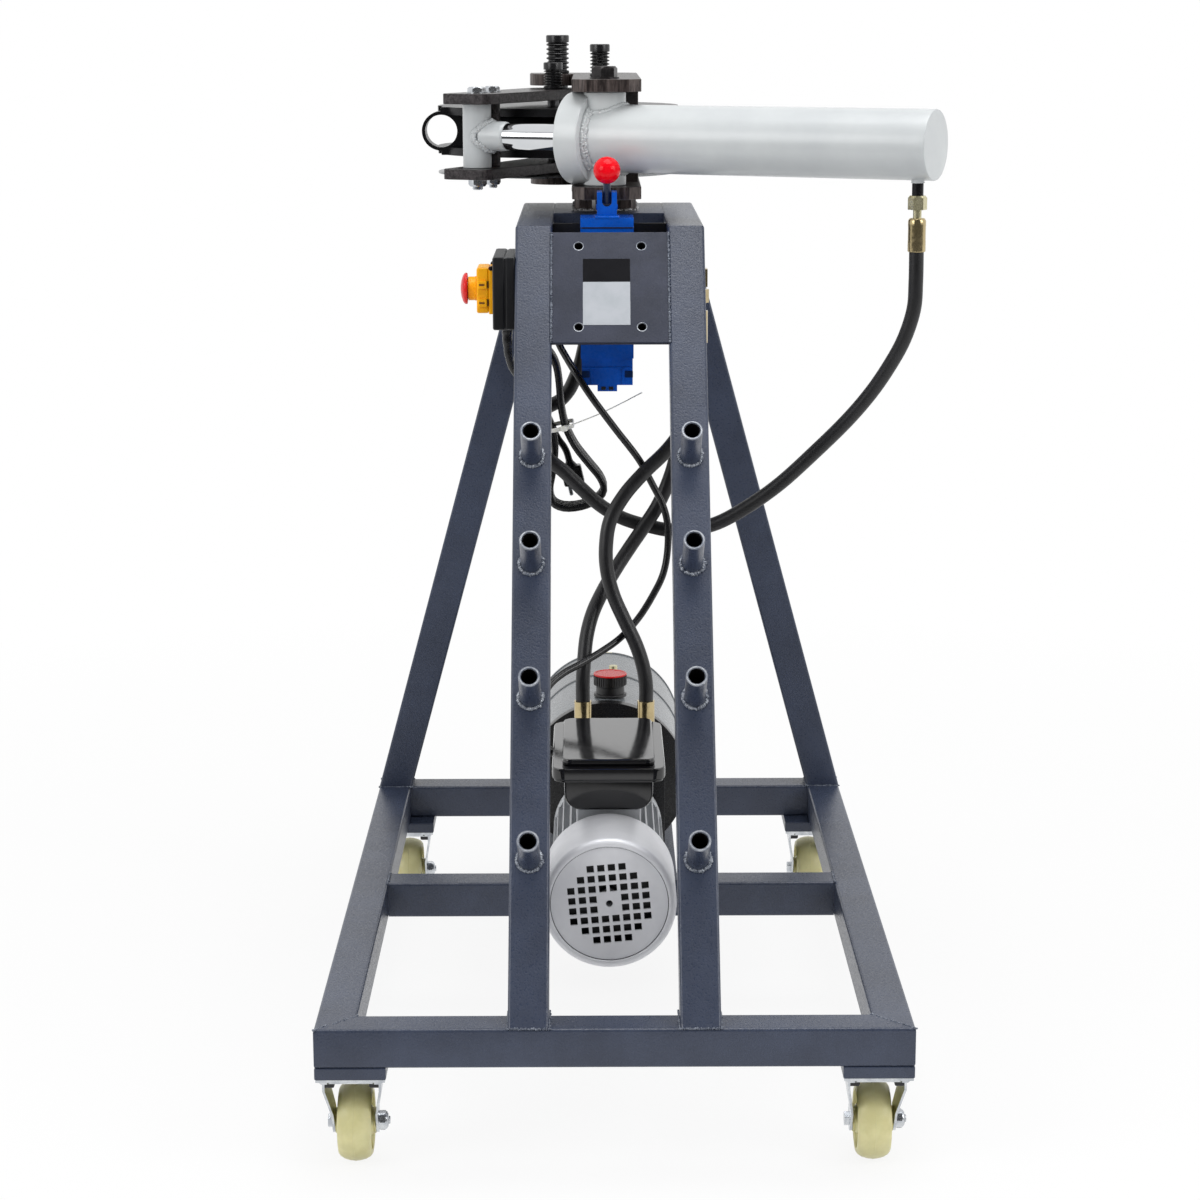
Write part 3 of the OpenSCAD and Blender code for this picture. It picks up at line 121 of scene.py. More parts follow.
# Metal and gloss mirror the unlit room on the side where the photographer stands, and the
# dark floor where the paper ends in front of the machine.
world = bpy.data.worlds.new("white surround")
scene.world = world
world.use_nodes = True
sky = world.node_tree
sky_strength = add(
    sky, "ShaderNodeMapRange", {},
    {"Value": (seen_directly(sky), "Value"), "To Min": 0.62, "To Max": 1.0},
)
surround = sky.nodes["Background"]
surround.inputs["Color"].default_value = (1.0, 1.0, 1.0, 1.0)
room = dark_in_front(sky, add(sky, "ShaderNodeTexCoord"), "Generated", -0.66, -0.2)
sky_level = add(
    sky, "ShaderNodeMath", {"operation": "MULTIPLY"}, {0: (sky_strength, "Result"), 1: (room, 0)}
)
sky.links.new(sky_level.outputs["Value"], surround.inputs["Strength"])

floor_paper = bpy.data.materials.new("matt white paper")
floor_paper.use_nodes = True
paper = floor_paper.node_tree
paper.nodes.clear()
paper_lit = add(paper, "ShaderNodeBsdfDiffuse", {}, {"Color": (0.86, 0.86, 0.86, 1.0)})
paper_where = add(paper, "ShaderNodeTexCoord")
paper_glow = dark_in_front(paper, paper_where, "Object", -2.2, -1.2)
paper_white = add(
    paper, "ShaderNodeEmission", {}, {"Color": (1.0, 1.0, 1.0, 1.0), "Strength": (paper_glow, 0)}
)
paper_far = add(
    paper, "ShaderNodeVectorMath", {"operation": "LENGTH"}, {0: (paper_where, "Object")}
)
paper_white_part = add(
    paper, "ShaderNodeMapRange", {},
    {"Value": (paper_far, "Value"), "From Min": 0.7, "From Max": 2.2,
     "To Min": 0.87, "To Max": 1.0},
)
paper_share = add(
    paper, "ShaderNodeMath", {"operation": "MULTIPLY"},
    {0: (seen_directly(paper), "Value"), 1: (paper_white_part, "Result")},
)
paper_mix = add(
    paper, "ShaderNodeMixShader", {},
    {0: (paper_share, "Value"), 1: (paper_lit, "BSDF"), 2: (paper_white, "Emission")},
)
add(paper, "ShaderNodeOutputMaterial", {}, {"Surface": (paper_mix, "Shader")})
floor_half = 40.0
floor_mesh = bpy.data.meshes.new("floor")
floor_corners = ((-1, -1), (1, -1), (1, 1), (-1, 1))
floor_mesh.from_pydata(
    [(x * floor_half, y * floor_half, 0.0) for x, y in floor_corners], [], [(0, 1, 2, 3)]
)
floor_mesh.materials.append(floor_paper)
floor = bpy.data.objects.new("floor", floor_mesh)
scene.collection.objects.link(floor)

for lamp_name, spot, size, watts in (
    ("left softbox", (-2.6, -1.9, 2.0), 1.6, 34),
    ("right softbox", (2.7, -1.7, 2.1), 1.6, 34),
    ("top softbox", (0.2, -0.2, 3.2), 1.8, 36),
):
    lamp = bpy.data.lights.new(lamp_name, "AREA")
    lamp.shape = "SQUARE"
    lamp.size = size
    lamp.energy = watts
    lamp_stand = bpy.data.objects.new(lamp_name, lamp)
    lamp_stand.location = spot
    aim = Vector((0.0, 0.0, 0.6)) - Vector(spot)
    lamp_stand.rotation_euler = aim.to_track_quat("-Z", "Y").to_euler()
    scene.collection.objects.link(lamp_stand)

camera_data = bpy.data.cameras.new("camera")
camera_data.sensor_width = 36.0
camera_data.lens = 82.70
camera = bpy.data.objects.new("camera", camera_data)
pitch, roll, heading = (radians(a) for a in (12.0134, -0.1467, 0.1371))
camera.matrix_world = (
    Matrix.Translation(Vector((-19.17, -2981.19, 1122.7)) * MM)
    @ Matrix.Rotation(-heading, 4, "Z")
    @ Matrix.Rotation(pi / 2 - pitch, 4, "X")
    @ Matrix.Rotation(roll, 4, "Z")
)
scene.collection.objects.link(camera)
scene.camera = camera

# The wheeled base: square steel tube mitred at the corners and welded, with a middle beam, a
# pad over each caster and a tray with two saddles for the tank. It is coated with a dark
# blue-grey hammered powder, which pools to small dimples.
base_w, base_d = 586, 900
rail_top, tube = 158, 40
front_y = -base_d / 2
mid_beam_y = front_y + 460
UP = Vector((0, 0, 1))


def finish(
    name, colour, other, roughness, metallic=0.0, patch=60, grain=2.0, height=0.03,
    spread=0.06, stretch=(1, 1, 1), sockets=(),
):
    """A material: two colours in patches, and a grain in its height and gloss. Sizes in mm."""
    material = bpy.data.materials.new(name)
    material.use_nodes = True
    tree = material.node_tree
    shader = tree.nodes["Principled BSDF"]
    shader.inputs["Metallic"].default_value = metallic
    for socket, value in dict(sockets).items():
        shader.inputs[socket].default_value = value
    where = add(tree, "ShaderNodeTexCoord")
    drawn = add(tree, "ShaderNodeMapping", {}, {"Vector": (where, "Object"), "Scale": stretch})
    clouds = add(
        tree, "ShaderNodeTexNoise", {},
        {"Vector": (drawn, "Vector"), "Scale": 1000 / patch, "Detail": 4.0, "Roughness": 0.62},
    )
    split = add(
        tree, "ShaderNodeMapRange", {},
        {"Value": (clouds, "Fac"), "From Min": 0.38, "From Max": 0.64},
    )
    tint = add(
        tree, "ShaderNodeMix", {"data_type": "RGBA"},
        {0: (split, "Result"), 6: paint(colour), 7: paint(other)},
    )
    fine = add(
        tree, "ShaderNodeTexNoise", {},
        {"Vector": (drawn, "Vector"), "Scale": 1000 / grain, "Detail": 2.0, "Roughness": 0.5},
    )
    gloss = add(
        tree, "ShaderNodeMapRange", {},
        {"Value": (fine, "Fac"), "From Min": 0.3, "From Max": 0.7,
         "To Min": roughness - spread, "To Max": roughness + spread},
    )
    bump = add(
        tree, "ShaderNodeBump", {},
        {"Height": (fine, "Fac"), "Distance": height * MM, "Strength": 1.0},
    )
    tree.links.new(tint.outputs[2], shader.inputs["Base Color"])
    tree.links.new(gloss.outputs["Result"], shader.inputs["Roughness"])
    tree.links.new(bump.outputs["Normal"], shader.inputs["Normal"])
    return material


# Hammered powder coat: dimples about 2 mm apart, which sparkle where the light grazes them.
frame_paint = finish(
    "hammered powder coat", "#313849", "#3a4255", 0.34, patch=90, grain=2.1, height=0.26,
    spread=0.1,
)


def rounded_rectangle(width, height, corner, steps=4):
    """The outline of a rectangle about the origin with rounded corners, counter-clockwise."""
    outline = []
    for quarter, (sx, sy) in enumerate(((1, 1), (-1, 1), (-1, -1), (1, -1))):
        for step in range(steps + 1):
            a = radians(90 * (quarter + step / steps))
            x, y = corner * cos(a), corner * sin(a)
            outline.append(
                Vector((sx * (width / 2 - corner) + x, sy * (height / 2 - corner) + y))
            )
    return outline


def axes(origin, u, v):
    """The place whose first two axes are u and v."""
    u, v = Vector(u).normalized(), Vector(v).normalized()
    w = u.cross(v)
    return Matrix.Translation(Vector(origin)) @ Matrix((u, v, w)).transposed().to_4x4()


def aimed(origin, direction):
    """The place whose Z axis points along a direction."""
    turn = Vector(direction).to_track_quat("Z", "Y").to_matrix().to_4x4()
    return Matrix.Translation(Vector(origin)) @ turn


def at(x, y, z, rx=0.0, ry=0.0, rz=0.0):
    """A place turned about X, then Y, then Z, in degrees."""
    turn = Euler([radians(a) for a in (rx, ry, rz)]).to_matrix().to_4x4()
    return Matrix.Translation(Vector((x, y, z))) @ turn


def inset(loop, amount):
    """A counter-clockwise outline moved inwards by an amount."""
    moved = []
    for i, point in enumerate(loop):
        before = (point - loop[i - 1]).normalized()
        after = (loop[(i + 1) % len(loop)] - point).normalized()
        n1, n2 = Vector((-before.y, before.x)), Vector((-after.y, after.x))
        corner = n1 + n2
        moved.append(point + corner * (amount / max(0.3, corner.dot(n1))))
    return moved


def plate(outline, thickness, place, edge=0.8, holes=(), mark=0, side_mark=None):
    """A plate with rounded edges, cut to an outline in its place's XY, rising along its Z."""
    outer = [Vector(p) for p in outline]
    loops = [outer] + [[Vector(p) for p in hole][::-1] for hole in holes]
    levels = [(edge, 0), (0.29 * edge, 0.29 * edge), (0, edge)]
    levels += [(i, thickness - z) for i, z in reversed(levels)]
    points, faces, marks = [], [], []
    side_mark = mark if side_mark is None else side_mark
    caps = [[], []]
    for loop in loops:
        n, base = len(loop), len(points)
        for amount, z in levels:
            points += [place @ Vector((p.x, p.y, z)) for p in inset(loop, amount)]
        for row in range(len(levels) - 1):
            for i in range(n):
                a, b = base + row * n + i, base + row * n + (i + 1) % n
                faces.append((a, b, b + n, a + n))
                marks.append(side_mark)
        for k, row in enumerate((0, len(levels) - 1)):
            caps[k].append([base + row * n + i for i in range(n)])
    for cap in caps:
        flat = [[(place.inverted() @ points[i]).to_2d().to_3d() for i in ring] for ring in cap]
        order = [i for ring in cap for i in ring]
        for triangle in tessellate_polygon(flat):
            faces.append([order[i] for i in triangle])
            marks.append(mark)
    return points, faces, marks


def around(radius, sides):
    """The points round a circle about the origin, as pairs."""
    turns = [2 * pi * i / sides for i in range(sides)]
    return [(radius * cos(a), radius * sin(a)) for a in turns]


def circle(x, y, radius, sides=32):
    """A round outline, counter-clockwise."""
    return [Vector((x + u, y + v)) for u, v in around(radius, sides)]


def block(low, high, edge=1.0, mark=0):
    """A rectangular block with rounded edges between two corners."""
    low, high = Vector(low), Vector(high)
    size, middle = high - low, (low + high) / 2
    outline = rounded_rectangle(size.x, size.y, max(edge, 0.2), 3)
    return plate(outline, size.z, at(middle.x, middle.y, low.z), edge, mark=mark)


def square_bar(start, end, across, cuts=(), size=tube, corner=3.0, mark=0):
    """A square tube with rounded edges, cut off by planes, each a point and what is thrown away."""
    start, end = Vector(start), Vector(end)
    along = (end - start).normalized()
    side = Vector(across)
    side = (side - along * along.dot(side)).normalized()
    place = axes(start, side, along.cross(side))
    bar = bmesh.new()
    outline = rounded_rectangle(size, size, corner, 3)
    rings = []
    for reach in (0, (end - start).length):
        rings.append([bar.verts.new(place @ Vector((p.x, p.y, reach))) for p in outline])
    for i in range(len(outline)):
        j = (i + 1) % len(outline)
        bar.faces.new((rings[0][i], rings[0][j], rings[1][j], rings[1][i]))
    bar.faces.new(rings[0][::-1])
    bar.faces.new(rings[1])
    for point, outward in cuts:
        parts = bar.verts[:] + bar.edges[:] + bar.faces[:]
        cut = bmesh.ops.bisect_plane(
            bar, geom=parts, plane_co=Vector(point), plane_no=Vector(outward), clear_outer=True
        )
        rim = [e for e in cut["geom_cut"] if isinstance(e, bmesh.types.BMEdge)]
        bmesh.ops.edgeloop_fill(bar, edges=rim)
    bar.verts.index_update()
    points = [v.co.copy() for v in bar.verts]
    faces = [[v.index for v in f.verts] for f in bar.faces]
    bar.free()
    return points, faces, [mark] * len(faces)


def made(name, body, finishes, parts, stands_for=(), crease=32):
    """One piece from its parts, set on a body and standing for CAD nodes."""
    points, faces, marks = [], [], []
    for part_points, part_faces, part_marks in parts:
        first = len(points)
        points += [p * MM for p in part_points]
        faces += [[i + first for i in face] for face in part_faces]
        marks += part_marks
    mesh = bpy.data.meshes.new(name)
    mesh.from_pydata(points, [], faces)
    mesh.polygons.foreach_set("material_index", marks)
    for material in finishes:
        mesh.materials.append(material)
    return settled(name, body, mesh, stands_for, crease)


def settled(name, body, mesh, stands_for=(), crease=32):
    """A finished mesh as a piece on its body, with its faces outwards and its creases sharp."""
    shell = bmesh.new()
    shell.from_mesh(mesh)
    bmesh.ops.recalc_face_normals(shell, faces=shell.faces)
    shell.to_mesh(mesh)
    shell.free()
    mesh.shade_smooth()
    mesh.set_sharp_from_angle(angle=radians(crease))
    piece = bpy.data.objects.new(name, mesh)
    scene.collection.objects.link(piece)
    evened = piece.modifiers.new("even shading", "WEIGHTED_NORMAL")
    evened.keep_sharp = True
    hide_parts(*stands_for)
    if body:
        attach(piece, body)
    return piece


corner_x, corner_y = base_w / 2, base_d / 2
rail_x, rail_y, rail_z = corner_x - tube / 2, corner_y - tube / 2, rail_top - tube / 2
rails = []
for s in (-1, 1):
    mitres = [((t * corner_x, s * corner_y, rail_z), (t, -s, 0)) for t in (-1, 1)]
    rails.append(square_bar(
        (-corner_x, s * rail_y, rail_z), (corner_x, s * rail_y, rail_z), UP, mitres
    ))
    mitres = [((s * corner_x, t * corner_y, rail_z), (-s, t, 0)) for t in (-1, 1)]
    rails.append(square_bar(
        (s * rail_x, -corner_y, rail_z), (s * rail_x, corner_y, rail_z), UP, mitres
    ))
beam_end, beam_y = corner_x - tube, mid_beam_y + tube / 2
rails.append(square_bar((-beam_end, beam_y, rail_z), (beam_end, beam_y, rail_z), UP))
pad, pad_bottom, pad_top = 70, 106, 118
caster_x, caster_y = corner_x - pad / 2, corner_y - pad / 2
for sx in (-1, 1):
    for sy in (-1, 1):
        x, y = sx * caster_x, sy * caster_y
        rails.append(block(
            (x - pad / 2, y - pad / 2, pad_bottom), (x + pad / 2, y + pad / 2, pad_top), 1.2
        ))
tray_t = 3
rails.append(block((-75, mid_beam_y, rail_top), (75, corner_y, rail_top + tray_t), 0.8))
unit_x, tank_y, tank_d = -4, 125, 180
tank_z = rail_top + tray_t + tank_d / 2
saddle_w, saddle_h, saddle_half = 24, 16, 50
for saddle in (70, 190):
    cradle = [(-saddle_half, 0), (saddle_half, 0), (saddle_half, saddle_h)]
    for step in range(13):
        x = 49 - 98 * step / 12
        under_tank = tank_d / 2 + 0.4 - sqrt((tank_d / 2) ** 2 - x * x)
        cradle.append((x, min(saddle_h, under_tank)))
    cradle.append((-saddle_half, saddle_h))
    cradle_place = axes(
        (unit_x, tank_y + saddle + saddle_w, rail_top + tray_t), (1, 0, 0), UP
    )
    rails.append(plate(cradle, saddle_w, cradle_place, 0.2))
made("base_ring", "root", [frame_paint], rails, ["base_frame"])

# The A-frame: two front posts lean back and meet the deck's side tubes in a mitre, and two
# rear legs spread to the base corners. All are the same square tube, welded and coated.
deck_top, deck_rise = 894, 736
post_x, post_gap = 84, 128
lean = atan(522 / deck_rise)
deck_front_y, mitre_y, notch_y = 72, 92.6, 269
up_post = Vector((0, sin(lean), cos(lean)))
into_post = Vector((0, cos(lean), -sin(lean)))
post_len = deck_rise / cos(lean)
mitre_out = Vector((0, 40, mitre_y - deck_front_y)).normalized()
mitre_point = (0, deck_front_y, deck_top)


def on_post(x, along, depth=0.0):
    """A point at a height along the posts' front face, and a depth into them."""
    return Vector((x, front_y, rail_top)) + up_post * along + into_post * depth


waste = 60
posts = [
    square_bar(
        on_post(s * post_x, -waste, tube / 2), on_post(s * post_x, post_len + waste, tube / 2),
        (1, 0, 0), [((0, 0, rail_top), (0, 0, -1)), (mitre_point, mitre_out)],
    )
    for s in (-1, 1)
]
made("front_posts_coated", "root", [frame_paint], posts, ["front_posts"])

deck = [
    square_bar(
        (s * post_x, deck_front_y - waste, deck_top - tube / 2),
        (s * post_x, corner_y, deck_top - tube / 2), UP, [(mitre_point, -mitre_out)],
    )
    for s in (-1, 1)
]
deck.append(
    block((-post_gap / 2 - 1, notch_y, deck_top - 12), (post_gap / 2 + 1, corner_y, deck_top), 1.0)
)
deck.append(block((-post_gap / 2, 150, 865), (post_gap / 2, 156, 891), 0.8, mark=1))
# Painted shade: the bracket under the deck, the insides of the pegs and the cups behind the panel's
# holes are painted matt near-black where shade falls.
painted_shade_black = finish(
    "matt black painted shade", "#0e0e11", "#151519", 0.5, patch=20, grain=1.6, height=0.06
)
made("deck_tubes", "root", [frame_paint, painted_shade_black], deck, ["deck_frame"])

leg_top, leg_top_x, leg_len = deck_top - tube, post_x + tube / 2, 780
leg_lean = atan((base_w / 2 - leg_top_x) / (leg_top - rail_top))
legs = []
for s in (-1, 1):
    down_out = Vector((s * sin(leg_lean), 0, -cos(leg_lean)))
    inward = Vector((-s * cos(leg_lean), 0, -sin(leg_lean)))
    top = Vector((s * leg_top_x, corner_y - tube / 2, leg_top)) + inward * tube / 2
    legs.append(square_bar(
        top - down_out * waste, top + down_out * leg_len, (0, 1, 0),
        [((0, 0, leg_top), (0, 0, 1)), ((0, 0, rail_top), (0, 0, -1))],
    ))
made("rear_legs_coated", "root", [frame_paint], legs, ["rear_legs"])


def turned(profile, place, sides=40, mark=0, closed=False):
    """A turned shape: (radius, height) places round the Z axis of its place."""
    points, rows = [], []
    for radius, height in profile:
        if radius < 1e-6:
            rows.append([len(points)])
            points.append(place @ Vector((0, 0, height)))
            continue
        rows.append(list(range(len(points), len(points) + sides)))
        points += [place @ Vector((x, y, height)) for x, y in around(radius, sides)]
    faces = []
    pairs = list(zip(rows, rows[1:]))
    if closed:
        pairs.append((rows[-1], rows[0]))
    for low, high in pairs:
        for i in range(sides):
            j = (i + 1) % sides
            if len(low) == 1:
                faces.append((low[0], high[j], high[i]))
            elif len(high) == 1:
                faces.append((low[i], low[j], high[0]))
            else:
                faces.append((low[i], low[j], high[j], high[i]))
    return points, faces, [mark] * len(faces)


# Storage pegs: short pieces of pipe welded square to the posts, where spare dies and pins are
# hung. Each has a thin wall, whose rim is worn bright, and a lumpy weld round its foot.
# The pale rim colour is wear on the pegs' rims, and a painted highlight on the rings round the
# panel's holes.
rim_wear_and_highlight = finish(
    "pale rim: wear and painted highlight", "#8b919c", "#c3c7cd", 0.34, metallic=0.5, patch=9, grain=1.2,
    height=0.1,
)
peg_places = (172, 345, 495, 620)
peg_out = -into_post
pegs = []
for s in (-1, 1):
    for along in peg_places:
        foot = aimed(on_post(s * post_x, along), peg_out)
        wall = [(8.3, 59.2), (8.6, 59.8), (9.2, 60), (10.3, 60), (10.8, 59.7), (11, 59)]
        # The floor and inner wall of each pipe are painted near-black as painted shade.
        pegs.append(turned([(0, 3), (8.3, 3)], foot, mark=2))
        pegs.append(turned([(8.3, 3)] + wall + [(11, 0), (8.3, 0)], foot, closed=True))
        pegs.append(turned([(8.25, 59.2), (9.2, 60.15), (10.3, 60.15), (11.1, 59.2)], foot, mark=1))
        pegs.append(turned([(8.25, 4), (8.25, 59)], foot, mark=2))
made(
    "peg_pipes", "root", [frame_paint, rim_wear_and_highlight, painted_shade_black], pegs,
    ["storage_pegs"],
)

# The front panel: a flat steel plate welded between the posts to guard the valve, with four
# drilled holes. A plain two-tone plate without any writing is stuck where a rating plate goes.
panel_h, panel_t = 138, 5
panel_bottom = post_len - panel_h - 8
hole_x, hole_h = 68.7 / 2, 101 / 2
panel_middle = panel_bottom + panel_h / 2 + 1
panel_place = axes(on_post(0, panel_middle - 1, panel_t), (1, 0, 0), up_post)
panel_holes = [circle(sx * hole_x, 1 + sz * hole_h, 5.5) for sx in (-1, 1) for sz in (-1, 1)]
# The panel's coat is near the frame's colour, but it is smooth and shows no dimples.
panel_paint = finish(
    "dark smooth powder coat", "#2b2f3c", "#343847", 0.33, patch=50, grain=2.4, height=0.09,
    spread=0.08, sockets={"Specular IOR Level": 0.2},
)
panel_outline = rounded_rectangle(post_gap, panel_h, 0.5, 1)
panel = [plate(panel_outline, panel_t, panel_place, 0.6, panel_holes)]
# Each hole gets a pale ring at its edge as a painted highlight, and a near-black cup behind it as
# painted shade.
rim_profile = [(4.6, -1.4), (4.7, -0.3), (5.0, 0.1), (5.3, 0.2), (5.5, 0.2), (5.7, 0)]
hole_shade_cup = [(0, -6), (4.5, -6), (4.5, 4), (5.4, 4), (5.4, -8), (0, -8)]
for hole in panel_holes:
    middle = sum(hole, Vector((0, 0))) / len(hole)
    for profile, level, mark in ((rim_profile, panel_t - 0.2, 1), (hole_shade_cup, 0.05, 2)):
        place = panel_place @ at(middle.x, middle.y, level)
        panel.append(turned(profile, place, 32, mark))
made(
    "front_panel_coated", "root", [panel_paint, rim_wear_and_highlight, painted_shade_black], panel,
    ["front_panel"],
)

# Printed foil is satin: a pale ground with a black field.
plate_film = finish(
    "pale printed foil", "#a9adb3", "#9fa4aa", 0.45, patch=25, grain=0.8, height=0.01,
    sockets={"Specular IOR Level": 0.3},
)
plate_ink = finish(
    "black foil ink", "#101014", "#141418", 0.5, patch=30, grain=0.8, height=0.01,
    sockets={"Specular IOR Level": 0.06},
)
foil_place = axes(on_post(-4, panel_middle - 5, -0.1), (1, 0, 0), up_post)
foil_w, foil_t = 51.5, 0.3
foils = [
    plate(
        rounded_rectangle(foil_w, high, 0.6, 2), foil_t, foil_place @ at(0, y, 0), 0.08, mark=mark
    )
    for high, y, mark in ((53.4, -16.6, 0), (29, 24.6, 1))
]
made("blank_plate", "root", [plate_film, plate_ink], foils)

# Weld beads: short overlapping drops laid by hand along each joint of the frame and painted
# over. The ring round each peg's foot is thick and rough, and its high spots look pale.
weld_paint = finish(
    "painted weld bead", "#4c5362", "#a4a9b1", 0.3, metallic=0.35, patch=3.2, grain=1.0,
    height=0.3,
)
run_paint = finish(
    "painted weld run", "#454b59", "#787e8a", 0.32, metallic=0.2, patch=4, grain=1.0, height=0.2
)


def new_tree(name, inputs):
    """An empty Geometry Nodes tree: a mesh and a material in, named numbers, and a mesh out."""
    tree = bpy.data.node_groups.new(name, "GeometryNodeTree")
    tree.interface.new_socket("Mesh", in_out="INPUT", socket_type="NodeSocketGeometry")
    for label, kind in {**inputs, "Material": "Material"}.items():
        tree.interface.new_socket(label, in_out="INPUT", socket_type=f"NodeSocket{kind}")
    tree.interface.new_socket("Mesh", in_out="OUTPUT", socket_type="NodeSocketGeometry")
    return tree, add(tree, "NodeGroupInput")


def ended(tree, given, shape, socket):
    """Ends a tree: its copies become real mesh and take the material that was given."""
    real = add(tree, "GeometryNodeRealizeInstances", {}, {0: (shape, socket)})
    dressed = add(
        tree, "GeometryNodeSetMaterial", {}, {0: (real, 0), "Material": (given, "Material")}
    )
    add(tree, "NodeGroupOutput", {}, {0: (dressed, 0)})


def grown(name, tree, values, start=None):
    """The plain mesh that a tree makes, from a start mesh if it has one, in metres."""
    carrier = bpy.data.objects.new(name, start or bpy.data.meshes.new(name))
    scene.collection.objects.link(carrier)
    modifier = carrier.modifiers.new(tree.name, "NODES")
    modifier.node_group = tree
    for item in tree.interface.items_tree:
        if item.in_out == "INPUT" and item.name in values:
            modifier[item.identifier] = values[item.name]
    graph = bpy.context.evaluated_depsgraph_get()
    mesh = bpy.data.meshes.new_from_object(carrier.evaluated_get(graph))
    carrier.modifiers.clear()
    bpy.data.objects.remove(carrier)
    mesh.name = name
    return mesh


weld_tree, given = new_tree("weld bead", {"Width": "Float", "Pitch": "Float", "Seed": "Int"})
weld_line = add(weld_tree, "GeometryNodeMeshToCurve", {}, {0: (given, "Mesh")})
drop_places = add(
    weld_tree, "GeometryNodeCurveToPoints", {"mode": "LENGTH"},
    {"Curve": (weld_line, 0), "Length": (given, "Pitch")},
)
wander = add(
    weld_tree, "FunctionNodeRandomValue", {"data_type": "FLOAT_VECTOR"},
    {0: (-0.0004, -0.0004, -0.0004), 1: (0.0004, 0.0004, 0.0004), "Seed": (given, "Seed")},
)
strayed = add(
    weld_tree, "GeometryNodeSetPosition", {}, {0: (drop_places, "Points"), "Offset": (wander, 0)}
)
half_width = add(
    weld_tree, "ShaderNodeMath", {"operation": "MULTIPLY"}, {0: (given, "Width"), 1: 0.5}
)
drop = add(
    weld_tree, "GeometryNodeMeshUVSphere", {},
    {"Segments": 8, "Rings": 5, "Radius": (half_width, "Value")},
)
drop_size = add(
    weld_tree, "FunctionNodeRandomValue", {"data_type": "FLOAT_VECTOR"},
    {0: (0.75, 0.6, 0.55), 1: (1.3, 1.2, 0.95), "Seed": (given, "Seed")},
)
drops = add(
    weld_tree, "GeometryNodeInstanceOnPoints", {},
    {"Points": (strayed, 0), "Instance": (drop, "Mesh"), "Rotation": (drop_places, "Rotation"),
     "Scale": (drop_size, 0)},
)
ended(weld_tree, given, drops, "Instances")


def runs_mesh(name, runs):
    """Joint lines as edges: each run is its points in mm and whether it closes."""
    points, edges = [], []
    for run, closes in runs:
        first = len(points)
        points += [Vector(p) * MM for p in run]
        edges += [(first + i, first + i + 1) for i in range(len(run) - 1)]
        if closes:
            edges.append((len(points) - 1, first))
    mesh = bpy.data.meshes.new(name)
    mesh.from_pydata(points, edges, [])
    return mesh


def welded(name, body, material, runs, width, pitch, seed=1):
    """A bead of weld along joint lines, as a piece on a body."""
    values = {"Width": width * MM, "Pitch": pitch * MM, "Seed": seed, "Material": material}
    bead = grown(name, weld_tree, values, runs_mesh(name, runs))
    return settled(name, body, bead, crease=100)


def ring(place, radius, sides=24):
    """A closed round run about the Z axis of a place."""
    return [place @ Vector((x, y, 0)) for x, y in around(radius, sides)], True


peg_rings = [
    ring(aimed(on_post(s * post_x, along, -0.8), peg_out), 12.2)
    for s in (-1, 1) for along in peg_places
]
welded("peg_welds", "root", weld_paint, peg_rings, 5.0, 2.3, 3)
foot_front, foot_back = front_y + 0.6, front_y + 49
foot_left, foot_right = post_x - tube / 2 + 0.5, post_x + tube / 2 - 0.5
leg_inner, leg_front, leg_back = corner_x - tube / cos(leg_lean), corner_y - 39.6, corner_y - 0.4
frame_runs = []
for s in (-1, 1):
    beside_panel = s * (post_gap / 2 + 0.2)
    frame_runs.append([on_post(beside_panel, panel_bottom + t, -0.2) for t in (1, panel_h - 1)])
    on_rail = [((foot_left, foot_front), (foot_right, foot_front))]
    on_rail += [((x, foot_front), (x, foot_back)) for x in (foot_left - 0.9, foot_right + 0.9)]
    on_rail.append(((beam_end + 0.5, beam_y - 19), (beam_end + 0.5, beam_y + 19)))
    on_rail += [((leg_inner, y), (corner_x, y)) for y in (leg_back, leg_front)]
    on_rail.append(((leg_inner, leg_front), (leg_inner, leg_back)))
    frame_runs += [[(s * x, y, rail_top) for x, y in ends] for ends in on_rail]
    for t in (-1, 1):
        mitre = ((s * corner_x, t * corner_y), (s * beam_end, t * (corner_y - tube)))
        frame_runs.append([(x, y, rail_top - 0.5) for x, y in mitre])
frame_runs = [(run, False) for run in frame_runs]
welded("frame_welds", "root", run_paint, frame_runs, 2.8, 1.7, 5)

# Casters: a zinc-plated stamped fork turns on a ball race under a bolted plate, and holds a
# cast nylon wheel on an axle bolt. The nylon is cream with a soft sheen.
# Zinc is bright and a little cloudy. Inside the forks, on the faces that face the wheel, it is
# painted darker and olive as painted shade.
zinc = finish(
    "bright zinc plate", "#d6d9dc", "#b4b8be", 0.24, metallic=1.0, patch=14, grain=1.0,
    height=0.02, spread=0.06,
)
nylon = finish(
    "cast nylon", "#d9d3a0", "#cdc792", 0.4, patch=26, grain=1.2, height=0.02,
    sockets={"Subsurface Weight": 0.25, "Subsurface Radius": (0.004, 0.003, 0.0015)},
)
fork_inner_shade = finish(
    "zinc with painted shade inside the fork", "#8d8c5c", "#a5a67e", 0.4, metallic=0.6, patch=12,
    grain=1.0, height=0.03,
)
